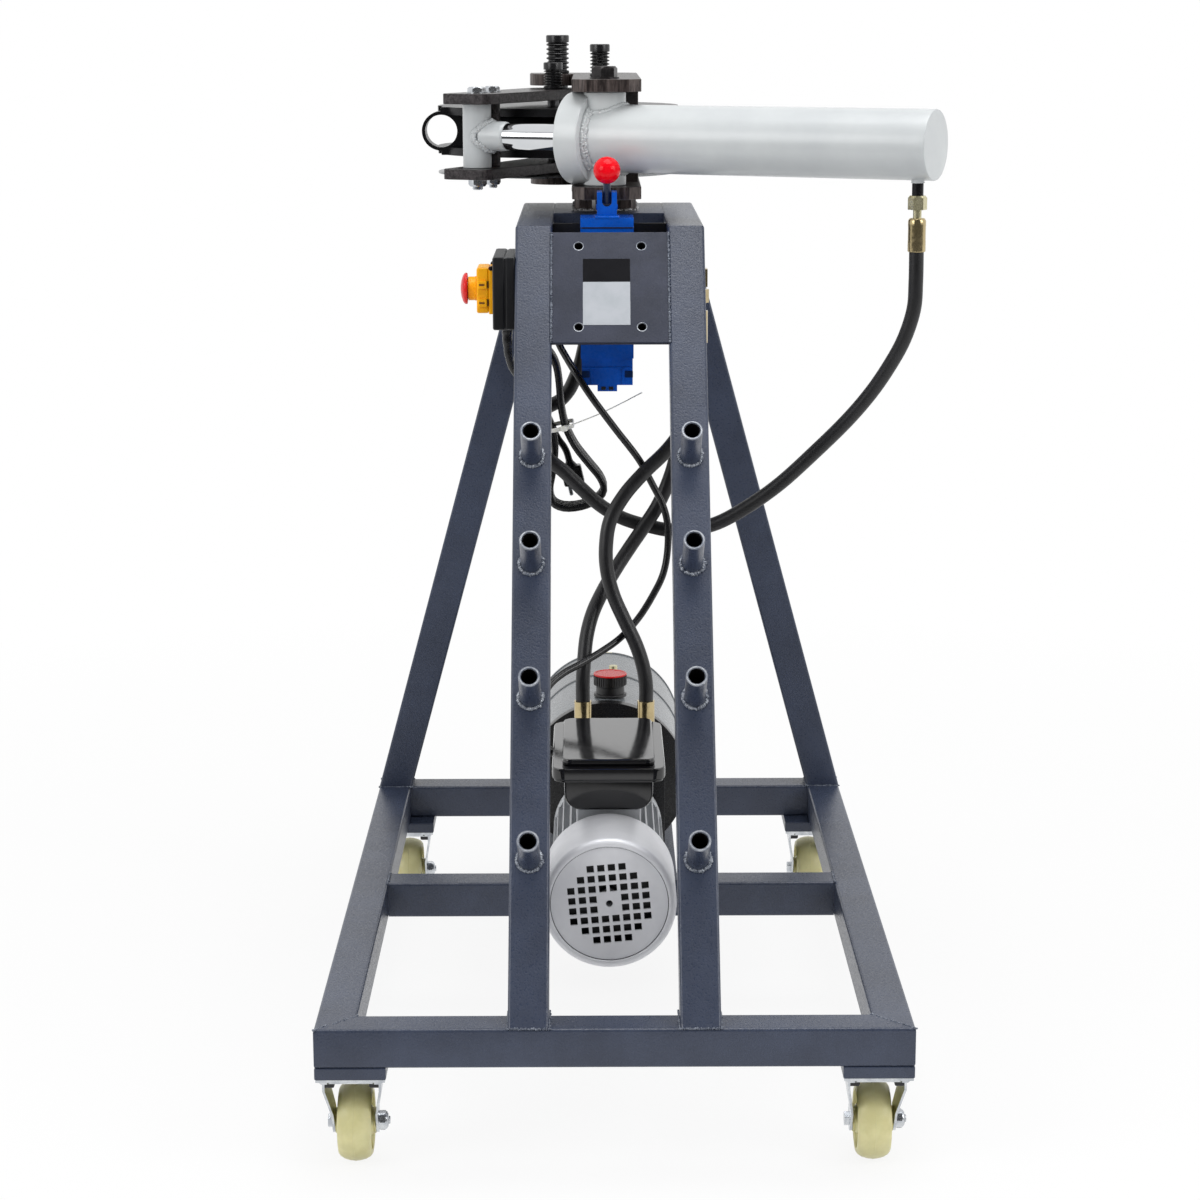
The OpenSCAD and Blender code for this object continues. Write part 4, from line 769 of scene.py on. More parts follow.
# Black blocks under each side of the fork crown are painted shade.
crown_shade_black = finish("painted shade under the fork crown", "#131316", "#1c1c20", 0.42, patch=20, grain=1.0)
wheel_r, trail = 40, 25
corners = [
    (f"{fore}_{side}", sx * caster_x, sy * caster_y)
    for fore, sy in (("front", -1), ("rear", 1)) for side, sx in (("left", -1), ("right", 1))
]
wheel_profile = [
    (4.05, -20.2), (12.4, -20.2), (13, -19.6), (13, -17.4), (15, -15.2), (15, -12), (29, -12),
    (29.4, -16), (30.6, -16.9), (33, -16.6), (35.6, -14.6), (38, -10.6), (39.5, -5), (40, 0),
]
wheel_profile += [(r, -z) for r, z in reversed(wheel_profile[:-1])]
for corner, x, y in corners:
    hub = aimed((x, y + trail, wheel_r), (1, 0, 0))
    made(
        f"nylon_wheel_{corner}", f"wheel_{corner}", [nylon],
        [turned(wheel_profile, hub, 72, closed=True),
         turned([(39.9, -0.5), (40.25, 0), (39.9, 0.5)], hub, 72)],
        [f"wheel_{corner}"],
    )


def merged_copy(node, name, finishes, round_off=0.0, marked=None, parts=()):
    """A CAD node's mesh with its triangles merged and its edges rounded, and parts added."""
    source = frame["nodes"][node]
    shell = bmesh.new()
    shell.from_mesh(source.data)
    bmesh.ops.remove_doubles(shell, verts=shell.verts, dist=2e-6)
    bmesh.ops.dissolve_limit(
        shell, angle_limit=radians(0.6), verts=shell.verts, edges=shell.edges
    )
    for face in shell.faces:
        face.material_index = marked(face) if marked else 0
    if round_off:
        sharp = [
            e for e in shell.edges
            if len(e.link_faces) == 2
            and e.calc_face_angle(0) > radians(40)
            and e.calc_length() > 2.2 * round_off * MM
            and min(f.calc_area() for f in e.link_faces) > (2.5 * round_off * MM) ** 2
        ]
        bmesh.ops.bevel(
            shell, geom=sharp, offset=round_off * MM, segments=2, profile=0.5, affect="EDGES",
            clamp_overlap=True,
        )
    for points, faces, marks in parts:
        verts = [shell.verts.new(p * MM) for p in points]
        for face, face_mark in zip(faces, marks):
            shell.faces.new([verts[i] for i in face]).material_index = face_mark
    mesh = bpy.data.meshes.new(name)
    shell.to_mesh(mesh)
    shell.free()
    for material in finishes:
        mesh.materials.append(material)
    return settled(name, source["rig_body"], mesh, [node])


def hexagon(flats, height, place, mark=0):
    """A hexagon head: flat sides, and a round chamfer on its top face."""
    corner = flats / 2 / cos(pi / 6)
    cut = min(0.18 * height, 1.3)
    points, n = [], 24
    for level, (share, z) in enumerate(((1, 0), (1, height - cut), (0, height))):
        for i in range(n):
            a = 2 * pi * i / n
            hex_r = flats / 2 / cos((a % (pi / 3)) - pi / 6)
            r = hex_r * share + (1 - share) * flats / 2 * 0.95
            drop = 0 if level != 1 else (hex_r - flats / 2) / (corner - flats / 2) * 0.9 * cut
            points.append(place @ Vector((r * cos(a), r * sin(a), z - drop)))
    faces = [
        (row * n + i, row * n + (i + 1) % n, (row + 1) * n + (i + 1) % n, (row + 1) * n + i)
        for row in (0, 1) for i in range(n)
    ]
    faces += [list(range(n))[::-1], [2 * n + i for i in range(n)]]
    return points, faces, [mark] * len(faces)


merged_copy("caster_plates", "swivel_plates", [zinc], 0.3)
for corner, swivel_x, swivel_y in corners:
    axle = aimed((swivel_x + 23, swivel_y + trail, wheel_r), (1, 0, 0))
    lock_nut = [
        turned([(4, 0), (9.6, 0), (9.6, 1.2), (4, 1.2)], axle, 32, closed=True),
        hexagon(17, 7, axle @ at(0, 0, 1.2)),
        turned([(0, 11), (3.4, 11), (4, 10.4), (4, 9.4), (6.6, 9), (7, 8)], axle, 32),
    ]
    # Painted shade: a black block under each side of the fork crown.
    crown_shades = [
        block((swivel_x + t * 22.5 - 5.5, swivel_y - 20, 91.5),
              (swivel_x + t * 22.5 + 5.5, swivel_y + 20, 99.9), 2.0, 2)
        for t in (-1, 1)
    ]
    merged_copy(
        f"fork_{corner}", f"stamped_fork_{corner}", [zinc, fork_inner_shade, crown_shade_black],
        0.5,
        # Faces inside the fork that face the wheel take the painted shade.
        lambda face: int(
            abs(face.normal.x) > 0.7
            and (face.calc_center_median().x / MM - swivel_x) * face.normal.x < 0
            and face.calc_center_median().z > 0.03
        ),
        lock_nut + crown_shades,
    )

# The bending head: two thick plates torch-cut to shape, stood on a pedestal on the deck and
# held apart by a web. The faces keep a brown-black oxide, and the cut edges are streaked.
oxide = finish(
    "black-brown mill oxide", "#1f1b1b", "#332c2a", 0.36, metallic=0.25, patch=22, grain=2.0,
    height=0.14, spread=0.12,
)
torch_cut = finish(
    "torch-cut steel edge", "#2b2423", "#5d5350", 0.38, metallic=0.45, patch=4, grain=1.3,
    height=0.4, stretch=(1, 1, 0.12), spread=0.14,
)
pivot = Vector((-61, 449))
trunnion = Vector((-5, 174))
stop_pin_at = Vector((-10, 270))
plate_t, lower_z, upper_z, bend_z = 14, 918, 1037, 984.5


def arc(radius, start, sweep, steps):
    """Points along an arc about the origin, from a start angle in degrees."""
    turns = [radians(start + sweep * i / steps) for i in range(steps + 1)]
    return [Vector((radius * cos(a), radius * sin(a))) for a in turns]


ear = [pivot + p for p in arc(34, 180, 124, 14)]
head_outline = [
    (-42, 149), (-28, 135), (22, 135), (36, 149), (36, 481), (22, 495), (-95, 495),
] + ear
head_holes = [circle(*pivot, 12.6), circle(*trunnion, 10), circle(*stop_pin_at, 8.1)]
for level, z in (("lower", lower_z), ("upper", upper_z)):
    cut = plate(head_outline, plate_t, at(0, 0, z), 0.7, head_holes, 0, 1)
    made(f"{level}_head_plate", "root", [oxide, torch_cut], [cut], [f"{level}_plate"])
pedestal = [(-34.5, 310), (26.5, 310), (32.5, 318), (32.5, 440), (-40.5, 440), (-40.5, 318)]
spacers = [
    plate(pedestal, lower_z - deck_top, at(0, 0, deck_top), 0.7, side_mark=1),
    block((6, 244, lower_z + plate_t), (34, 300, upper_z), 0.8),
]
made("pedestal_and_web", "root", [oxide, torch_cut], spacers, ["head_spacers"])
# Welding left the bead dark, with white spatter on its high spots.
scorched = finish(
    "scorched weld with white spatter", "#2c2827", "#c9c9cb", 0.4, metallic=0.4, patch=2.4,
    grain=1.0, height=0.3,
)
foot_line = [(-41.5, 309), (33.5, 309), (33.5, 441), (-41.5, 441)]
welded(
    "pedestal_welds", "root", scorched,
    [([(x, y, z) for x, y in foot_line], True) for z in (deck_top + 0.5, lower_z - 0.5)],
    5.0, 2.6, 7,
)

# The angle disc: a thin sheet steel disc that lies on the lower plate round the pivot. It is
# ground, so it is paler and brighter than the plates that it lies between.
ground_steel = finish(
    "ground steel sheet", "#9a9c9e", "#7f8284", 0.3, metallic=1.0, patch=30, grain=1.0,
    height=0.02,
)
merged_copy("angle_disc", "steel_disc", [ground_steel])

# The trunnion bolts: two hexagon bolts, each with a washer, that the cylinder's boss turns on
# between the plates. Their black oxide has a dull metal shine.
black_bolt = finish(
    "black oxide bolt", "#211f20", "#3a3738", 0.32, metallic=0.6, patch=10, grain=1.0, height=0.05
)
shank = plate_t + 14.25 - 1
bolts = []
for s in (1, -1):
    root = aimed((trunnion.x, trunnion.y, bend_z + s * 39), (0, 0, s))
    bolts.append(turned([(0, 0), (10, 0), (10, shank + 1), (0, shank + 1)], root))
    bolts.append(turned([(10.1, 0), (16.5, 0), (16.5, 2), (10.1, 2)],
                        root @ at(0, 0, shank), closed=True))
    bolts.append(hexagon(26, 12, root @ at(0, 0, shank + 2, rz=15)))
made("trunnion_bolt_pair", "root", [black_bolt], bolts, ["trunnion_bolts"])

# Pull pins: turned steel pins with moulded black grips. Six round ribs give the fingers a
# hold below a plain cap, and the plastic has a satin gloss.
grip_plastic = finish(
    "moulded black grip", "#101012", "#161618", 0.28, patch=20, grain=0.8, height=0.02
)
pin_steel = finish(
    "turned steel pin", "#6d6e70", "#57585a", 0.3, metallic=1.0, patch=12, grain=0.8, height=0.02
)


def pull_pin(place, pin_d, pin_l, grip_d, grip_h):
    """A pull pin: its shaft below the seat and its ribbed grip above."""
    r, core = grip_d / 2, grip_d / 2 - 2.6
    profile = [(0, 0), (r - 1, 0), (r, 1), (r, 3.4), (core, 4.2)]
    ribs = 6
    step = (grip_h - 13.5) / ribs
    for i in range(ribs):
        low = 4.2 + i * step
        profile += [
            (core, low + step * 0.3), (r - 0.7, low + step * 0.42), (r, low + step * 0.6),
            (r - 0.7, low + step * 0.8), (core, low + step * 0.95),
        ]
    profile += [(core, grip_h - 9), (r, grip_h - 8.4), (r, grip_h - 1), (r - 1, grip_h),
                (0, grip_h)]
    rod = pin_d / 2
    shaft = [(0, -pin_l), (rod - 1, -pin_l), (rod, 1 - pin_l), (rod, 0.5), (0, 0.5)]
    return [turned(profile, place, 40), turned(shaft, place, 40, 1)]


arm_place = at(pivot.x, pivot.y, bend_z, rz=-114.46)
arm_len, arm_t, arm_gap = 220, 12, 73.5
drive_a = radians(18.5)
drive_at = (49 * cos(drive_a), 49 * sin(drive_a), arm_gap / 2 + arm_t)
head_top = upper_z + plate_t
for name, place, pin_d, pin_l, grip_d, grip_h in (
    ("main_pin", at(*pivot, head_top), 25, 133, 28, 46),
    ("stop_pin", at(*stop_pin_at, head_top), 16, 133, 23, 37),
    ("drive_pin", arm_place @ at(*drive_at), 14, 52, 23, 32),
):
    made(
        f"{name}_gripped", name, [grip_plastic, pin_steel],
        pull_pin(place, pin_d, pin_l, grip_d, grip_h), [name], 50,
    )

# The bending arms: two thick torch-cut plates, one above and one below the die, joined by a
# spacer. They turn on the main pin and are pushed round by the rod end.
arm_outline = arc(42, 90, 180, 20) + [
    (190, -31), (243, -31), (250, -28), (253, -21), (253, 21), (250, 28), (243, 31), (190, 31),
]
# Flat faces keep an even black oxide. The burnt edges are rougher and a little greyer.
arm_faces = finish(
    "black oxide plate", "#1c191a", "#2c2828", 0.33, metallic=0.3, patch=16, grain=1.6,
    height=0.16, spread=0.12,
)
arm_edges = finish(
    "burnt plate edge", "#1a1718", "#454042", 0.34, metallic=0.4, patch=3.5, grain=1.2,
    height=0.35, spread=0.14,
)
spacer_x = arm_len - 40
arm_holes = [
    circle(0, 0, 12.6), circle(arm_len, 0, 6, 24), circle(spacer_x, 0, 5, 24),
    circle(*drive_at[:2], 7.1, 24),
]
arms = [
    plate(arm_outline, arm_t, arm_place @ at(0, 0, z), 0.8, arm_holes, 0, 1)
    for z in (-arm_gap / 2 - arm_t, arm_gap / 2)
]
made("bending_arms", "arm", [arm_faces, arm_edges], arms, ["swing_arms"])
made(
    "arm_spacer_tube", "arm", [arm_edges],
    [turned([(5, 0), (8.2, 0), (9, 0.8), (9, arm_gap - 0.8), (8.2, arm_gap), (5, arm_gap)],
            arm_place @ at(spacer_x, 0, -arm_gap / 2), closed=True)],
    ["arm_spacer"],
)
bolts = []
low = -arm_gap / 2 - arm_t
for x, d in ((arm_len, 12), (spacer_x, 10)):
    here = arm_place @ at(x, 0, 0)
    bolts.append(turned([(0, low - 13), (d / 2 - 1, low - 13), (d / 2, low - 12),
                         (d / 2, -low), (0, -low)], here, 24))
    for washer in (here @ at(0, 0, low, rx=180), here @ at(0, 0, -low)):
        bolts.append(turned([(d / 2, 0), (d, 0), (d, 1.4), (d / 2, 1.4)], washer, closed=True))
    bolts.append(hexagon(1.55 * d, 7.6, here @ at(0, 0, low - 1.4, rx=180)))
    bolts.append(hexagon(1.55 * d, 5.6, here @ at(0, 0, -low + 1.4)))
made("arm_bolt_set", "arm", [zinc], bolts, ["arm_bolts"])

# The bending die and its hook: cast iron machined with a round groove for the pipe, then
# blackened. The die turns with the arms, and the faces have a soft dark sheen.
die_oxide = finish(
    "blackened cast iron", "#141416", "#1c1c1f", 0.33, metallic=0.5, patch=26, grain=1.4,
    height=0.05, spread=0.08,
)
merged_copy("bending_die", "grooved_die", [die_oxide], 0.6)
merged_copy("die_hook", "pipe_hook", [die_oxide], 0.6)

# The cylinder: a thick tube with a collar and a round boss welded on, painted pale
# grey-green in a glossy coat that shows a slight orange peel and a lumpy weld.
ram_enamel = finish(
    "pale grey-green enamel", "#c5c9ca", "#bcc0c2", 0.33, patch=120, grain=7.0, height=0.03,
    spread=0.04, sockets={"Coat Weight": 0.2, "Coat Roughness": 0.22},
)
ram_dir = Vector((0.8915, -0.4530, 0)).normalized()
ram_place = aimed((trunnion.x, trunnion.y, bend_z), ram_dir)
ram_axes = axes((trunnion.x, trunnion.y, bend_z), ram_dir, UP.cross(ram_dir))
tube_end, port_u = 384, 376
port = Vector((trunnion.x, trunnion.y, 0)) + ram_dir * port_u
barrel = [
    turned([(31.5, -40), (37.4, -40), (38, -39.4), (38, tube_end), (31.5, tube_end)], ram_place,
           96, closed=True),
    turned([(4, 0), (7.5, 0), (7, 1.6), (7.4, 4), (9.6, 7), (4, 8)],
           at(port.x, port.y, bend_z - 40.6), 32, closed=True),
]
made("barrel", "cylinder", [ram_enamel], barrel, ["cylinder_tube"])
cap = [(0, 0), (38, 0), (38, 10.6), (37.5, 11.6), (36.4, 12), (0, 12)]
made("barrel_cap", "cylinder", [ram_enamel],
     [turned(cap, ram_place @ at(0, 0, tube_end), 96)], ["cylinder_end_cap"])
boss_edge = [(10.1, -52.2), (22.8, -52.2), (24, -51), (24, 51), (22.8, 52.2), (10.1, 52.2)]
collar = [
    turned([(38, -40), (49.6, -40), (51.4, -39.3), (52, -37.6), (52, -12.4), (51, -10.4),
            (48.6, -10), (38, -10)], ram_place, 96, closed=True),
    turned(boss_edge, ram_axes, 64, closed=True),
]
made("collar_and_boss", "cylinder", [ram_enamel], collar, ["cylinder_collar"])
boss_foot = [(x, y, sqrt(38.2 ** 2 - y * y)) for x, y in around(24.6, 48)]
collar_runs = [ring(ram_place @ at(0, 0, u), r, 64) for u, r in ((-8.4, 40.6), (-5.6, 38.6))]
collar_runs += [
    ([ram_axes @ Vector((x, y, s * z)) for x, y, z in boss_foot], True) for s in (-1, 1)
]
welded("collar_weld", "cylinder", ram_enamel, collar_runs, 6.0, 1.9, 11)

# The rod: hard chrome on ground steel, a near mirror. Its end is a painted cross bush with a
# flared weld, bolted between the arms.
chrome = finish(
    "hard chrome", "#d4d6d9", "#cdd0d3", 0.06, metallic=1.0, patch=60, grain=3.0, height=0.002,
    spread=0.02,
)
rod_end_u, rod_r, rod_from, rod_to = -165, 15, -124.5, 330
rod_profile = [(0, rod_from), (rod_r, rod_from), (rod_r, rod_to), (0, rod_to)]
made("chrome_rod", "rod", [chrome], [turned(rod_profile, ram_place, 96)],
     ["piston_rod"])
bush_place = ram_axes @ at(rod_end_u, 0, 0)
rod_end = [
    turned([(12.2, -36.4), (15.8, -36.4), (16.5, -35.7), (16.5, 35.7), (15.8, 36.4),
            (12.2, 36.4)], bush_place, 64, closed=True),
    turned([(0, 10), (17.2, 10), (17.2, 16.4), (16.9, 20), (17, 36), (16.2, 39.4), (15.2, 40.4),
            (0, 40.4)], ram_place @ at(0, 0, rod_end_u), 64),
]
made("rod_cross_bush", "rod", [ram_enamel], rod_end, ["rod_end"])
neck_line = [(sqrt(max(9, 17.2 ** 2 - y * y)), y, z) for y, z in around(17.4, 36)]
neck_runs = [
    ([bush_place @ Vector((x + further, y, z)) for x, y, z in neck_line], True)
    for further in (0, 3)
]
welded("rod_end_weld", "rod", ram_enamel, neck_runs, 6.0, 1.9, 13)
# Oil leaves the bronze gland and the spring's wire dark and smooth.
bronze = finish("oiled bronze", "#9a7a45", "#86693a", 0.3, metallic=1.0, patch=12, grain=0.8)
spring_wire = finish("oiled spring wire", "#77797c", "#606265", 0.3, metallic=1.0, patch=10)
merged_copy("gland_bush", "bronze_gland", [bronze])
merged_copy("piston", "piston_head", [pin_steel])
spring_tree, given = new_tree(
    "wound spring", {"Turns": "Float", "Radius": "Float", "Length": "Float", "Wire": "Float"}
)
winding = add(
    spring_tree, "GeometryNodeCurveSpiral", {},
    {"Resolution": 24, "Rotations": (given, "Turns"), "Start Radius": (given, "Radius"),
     "End Radius": (given, "Radius"), "Height": (given, "Length")},
)
wire_radius = add(
    spring_tree, "ShaderNodeMath", {"operation": "MULTIPLY"}, {0: (given, "Wire"), 1: 0.5}
)
wire_round = add(
    spring_tree, "GeometryNodeCurvePrimitiveCircle", {},
    {"Resolution": 10, "Radius": (wire_radius, "Value")},
)
wire = add(
    spring_tree, "GeometryNodeCurveToMesh", {},
    {"Curve": (winding, 0), "Profile Curve": (wire_round, 0), "Fill Caps": True},
)
ended(spring_tree, given, wire, "Mesh")
coil = grown(
    "wound_spring", spring_tree,
    {"Turns": 16.0, "Radius": 27.5 * MM, "Length": 327.4 * MM, "Wire": 5 * MM,
     "Material": spring_wire},
)


def put(mesh, place):
    """Moves a mesh in metres to a place in mm."""
    mesh.transform(Matrix.Scale(MM, 4) @ place @ Matrix.Scale(1 / MM, 4))
    return mesh


spring_start = -0.2
settled("wound_spring", "cylinder", put(coil, ram_place @ at(0, 0, spring_start)),
        ["return_spring"])

# Hose fittings: hexagon nuts, necks and smooth pressed ferrules in yellow-passivated zinc. The
# one under the cylinder screws on a black nipple.
yellow_zinc = finish(
    "yellow passivated zinc", "#c4b38a", "#b3a27a", 0.2, metallic=0.95, patch=40, grain=4.0,
    height=0.01,
)
pale_zinc = finish(
    "pale yellow zinc", "#d8d2ae", "#c2bb94", 0.28, metallic=0.8, patch=9, grain=0.9, height=0.02
)
black_nipple = finish("blackened nipple", "#17171a", "#212124", 0.3, metallic=0.6, patch=9)
port_bottom, nipple_z, nut_z, port_neck_z = 870.5, 930.5, 915.5, 906.5
hose_axis = at(port.x, port.y, 0)
pressed = [
    (0, port_bottom), (9.3, port_bottom), (9.75, port_bottom + 0.8), (9.75, port_bottom + 12),
    (9.6, port_bottom + 12.4), (9.6, port_bottom + 27), (9.75, port_bottom + 27.4),
    (9.75, port_neck_z - 3), (8.4, port_neck_z - 0.6), (7.6, port_neck_z), (0, port_neck_z),
]
hose_end = [
    turned(pressed, hose_axis, 40),
    turned([(0, port_neck_z - 1), (4.6, port_neck_z - 1), (4.6, nut_z + 1), (0, nut_z + 1)],
           hose_axis, 28, 1),
    hexagon(18, 15, hose_axis @ at(0, 0, nipple_z - 15), 1),
    turned([(0, nipple_z - 1), (6.25, nipple_z - 1), (6.25, 943), (5.6, 944), (6.25, 945),
            (6.25, 947), (0, 947)], hose_axis, 32, 2),
]
made("cylinder_hose_end", "cylinder", [yellow_zinc, pale_zinc, black_nipple],
     hose_end, ["cylinder_fitting"])
merged_copy("hose_fittings", "hose_ends", [yellow_zinc], 0.4)

# The valve: an iron casting in glossy blue enamel, flanged to the deck, with a lever in a
# clevis that lifts its spool. The lever is a navy-coated bar under a red ball.
blue_enamel = finish(
    "blue enamel on cast iron", "#0658c6", "#044aab", 0.3, patch=40, grain=4.0, height=0.14,
    spread=0.08, sockets={"Specular IOR Level": 0.12, "Coat Weight": 0.06, "Coat Roughness": 0.1},
)
# Painted shade: the same enamel is painted a deep navy in the casting's pockets, where little light
# comes in.
pocket_shade_blue = finish(
    "blue enamel with painted pocket shade", "#0a2c66", "#08244f", 0.4, patch=12, grain=1.0,
    sockets={"Specular IOR Level": 0.1},
)
seam_shade_black = finish("black painted shade in seams and slots", "#111114", "#17171a", 0.5, patch=12, grain=1.0)
navy_coat = finish("navy coat", "#17233c", "#1f2d49", 0.3, patch=14, grain=1.0, height=0.03)
# The ball is moulded and polished, with one clear highlight.
knob_plastic = finish(
    "red moulded ball", "#ea0519", "#e00417", 0.16, patch=30, grain=3.0, height=0.01, spread=0.02,
    sockets={"Specular IOR Level": 0.2},
)
valve_x, valve_front, valve_half, valve_top = -3, 90, 29.5, 891
# A thin black rim under the top flange is painted shade in the flange's seam.
valve_trim = [
    plate(rounded_rectangle(2 * valve_half + 0.8, 61.4, 3, 3), 1.4,
          at(valve_x, valve_front + 29.5, valve_top - 1.2), 0.2, mark=1),
    block((valve_x - 13.5, valve_front - 1.6, valve_top + 9), (valve_x + 13.5, valve_front + 26,
          valve_top + 12.6), 1.2),
]
# On each side of the casting's lower front: a pocket painted deep navy as painted shade, a black
# block of painted shade in a slot of the tab, and an upright rib.
for x, half, face_y, low, high, edge, mark in (
    (24.3, 4.5, 91.2, 723.5, 731, 0.6, 2), (4.2, 2.6, 91.3, 709.6, 713.4, 0.5, 1),
    (17.6, 1.4, 90.9, 715.6, 735, 0.7, 0),
):
    valve_trim += [
        block((valve_x + s * x - half, face_y, low), (valve_x + s * x + half, 93, high), edge, mark)
        for s in (-1, 1)
    ]
valve_trim.append(block((valve_x - 28.4, 90.9, 733), (valve_x + 28.4, 93, 735.6), 0.7))
merged_copy(
    "valve_body", "valve_casting", [blue_enamel, seam_shade_black, pocket_shade_blue], 1.2,
    None, valve_trim,
)
merged_copy("valve_spool", "spool_rod", [pin_steel])
merged_copy("valve_lever", "lever_bar", [navy_coat], 0.6)
merged_copy("lever_knob", "lever_ball", [knob_plastic])

# The switch box: a moulded black box in two halves with a yellow flap housing on its side and
# a red mushroom button that stops the pump.
# Black ABS has a fine moulded grain. The yellow lets a little light in, so it glows.
black_abs = finish(
    "moulded black ABS", "#121316", "#17181b", 0.36, patch=30, grain=1.4, height=0.06
)
yellow_abs = finish(
    "yellow ABS", "#ffb60a", "#f7aa05", 0.36, patch=24, grain=1.2, height=0.02,
    sockets={"Specular IOR Level": 0.25, "Subsurface Weight": 0.06,
             "Subsurface Radius": (0.002, 0.001, 0.0004)},
)
button_abs = finish(
    "red button ABS", "#dc2220", "#d01b1b", 0.28, patch=20, grain=1.0, height=0.02,
    sockets={"Specular IOR Level": 0.35},
)
box_face, box_back, box_y, box_z, box_h, box_l = -129, -104, 45, 782, 80, 120
seam_x = box_face + 13.7
flap_y, flap_z, hinge_x, hinge_z = 110, 822, -131.8, 847
case = [
    block((box_face, box_y, box_z), (seam_x - 0.4, box_y + box_l, box_z + box_h), 2.2),
    block((seam_x + 0.4, box_y + 0.3, box_z + 0.3),
          (box_back, box_y + box_l - 0.3, box_z + box_h - 0.3), 2.0),
    block((seam_x - 2, box_y + 1.2, box_z + 1.2),
          (seam_x + 2, box_y + box_l - 1.2, box_z + box_h - 1.2), 1.0),
]
for place in (aimed((box_back - 0.5, 138, 801), (1, 0, 0)), at(-116, 140, box_z + 0.5, rx=180)):
    case.append(hexagon(15.5, 6.5, place))
    case.append(turned([(4.1, 6), (6.6, 6), (7, 7), (6.8, 10), (5.6, 12.2), (4.1, 12.4)], place,
                       32, closed=True))
for t in (-1, 1):
    lug = aimed((hinge_x, flap_y + t * 28.3, hinge_z), (0, t, 0))
    case.append(turned([(0, 0), (2.2, 0), (2.5, 0.4), (2.5, 4.6), (2.2, 5), (0, 5)], lug, 24))
    case.append(block((hinge_x, flap_y + t * 30.8 - 2.5, hinge_z - 2.5),
                      (box_face + 0.5, flap_y + t * 30.8 + 2.5, hinge_z + 2.5), 0.5))
made("switch_case", "root", [black_abs], case, ["switch_box"])
flap = [
    block((-147.9, flap_y - 28, flap_z - 25), (-134.5, flap_y + 28, flap_z + 25), 2.0),
    block((-134.6, flap_y - 28, flap_z - 26.2), (-129.5, flap_y + 28, flap_z + 24.6), 1.2),
    turned([(10.1, 0), (13, 0), (13.6, 0.6), (13.6, 2.2), (13.2, 2.8), (13.2, 9.4), (12.6, 10),
            (10.1, 10)], aimed((-148.2, flap_y, flap_z), (-1, 0, 0)), 48, closed=True),
]
for low in (804.2, 824.2):
    flap.append(block((-146.2, flap_y - 31, low), (-136.4, flap_y - 27.5, low + 9), 0.9))
    flap.append(block((-136.2, flap_y - 28.3, low + 0.6), (-134.4, flap_y - 27.4, low + 8.4),
                      0.3, 1))
    flap.append(block((-145, flap_y - 31.3, low + 3.4), (-139, flap_y - 30.6, low + 5.6), 0.3, 1))
flap_shade = finish("shadowed yellow ABS", "#7a4a06", "#6b4006", 0.5, patch=10, grain=1.0)
made("yellow_housing", "switch_cover", [yellow_abs, flap_shade], flap,
     ["switch_cover"])
button = [
    turned([(0, -18), (10, -18), (10, 4.6), (14.3, 4.6), (14.3, 0.8), (16.9, 0.8), (17.5, 1.4),
            (17.5, 2.9), (16.9, 4.1), (14.6, 5.8), (9, 7.6), (4, 8.4), (0, 8.6)],
           aimed((-158.3, flap_y, flap_z), (-1, 0, 0)), 56),
]
made("mushroom_button", "stop_button", [button_abs], button, ["stop_button"])

# The motor: a finned aluminium body with a pressed sheet cowl over its fan. Both are sprayed
# silver, and the cowl's end has square holes punched in it.
# The sprayed casting is grainy and greyer, and the cowl's sheet is smooth and pale.
cast_silver = finish(
    "silver-sprayed casting", "#b9bbbe", "#a9acb0", 0.42, metallic=0.5, patch=40, grain=1.6,
    height=0.1,
)
cowl_silver = finish(
    "silver-sprayed sheet", "#dfe0e4", "#d3d4d9", 0.4, metallic=0.22, patch=70, grain=1.2,
    height=0.03,
)
# A thin grey line keeps the shadow of the step where the cowl is pressed over the body.
pressed_line = finish("shadow in a pressed step", "#5c5d62", "#505156", 0.5, patch=20, grain=1.0)
motor_z, cowl_y, motor_y = 238.5, -310, -220
rib_tree, given = new_tree(
    "ring of ribs",
    {"Count": "Int", "Radius": "Float", "Depth": "Float", "Width": "Float", "Length": "Float"},
)
rib_ring = add(
    rib_tree, "GeometryNodeMeshCircle", {},
    {"Vertices": (given, "Count"), "Radius": (given, "Radius")},
)
rib_size = add(
    rib_tree, "ShaderNodeCombineXYZ", {},
    {"X": (given, "Depth"), "Y": (given, "Width"), "Z": (given, "Length")},
)
rib = add(rib_tree, "GeometryNodeMeshCube", {}, {"Size": (rib_size, 0)})
rib_index = add(rib_tree, "GeometryNodeInputIndex")
rib_share = add(
    rib_tree, "ShaderNodeMath", {"operation": "DIVIDE"}, {0: (rib_index, 0), 1: (given, "Count")}
)
rib_turn = add(
    rib_tree, "ShaderNodeMath", {"operation": "MULTIPLY"}, {0: (rib_share, "Value"), 1: tau}
)
rib_way = add(rib_tree, "ShaderNodeCombineXYZ", {}, {"Z": (rib_turn, "Value")})
ribs = add(
    rib_tree, "GeometryNodeInstanceOnPoints", {},
    {"Points": (rib_ring, 0), "Instance": (rib, 0), "Rotation": (rib_way, 0)},
)
ended(rib_tree, given, ribs, "Instances")


def ribbed(name, body, material, place, count, radius, size, stands_for=()):
    """A ring of ribs round the Z axis of a place, as a piece: size is depth, width and length."""
    depth, width, length = (v * MM for v in size)
    grown_ribs = grown(
        name, rib_tree,
        {"Count": count, "Radius": radius * MM, "Depth": depth, "Width": width,
         "Length": length, "Material": material},
    )
    return settled(name, body, put(grown_ribs, place), stands_for)


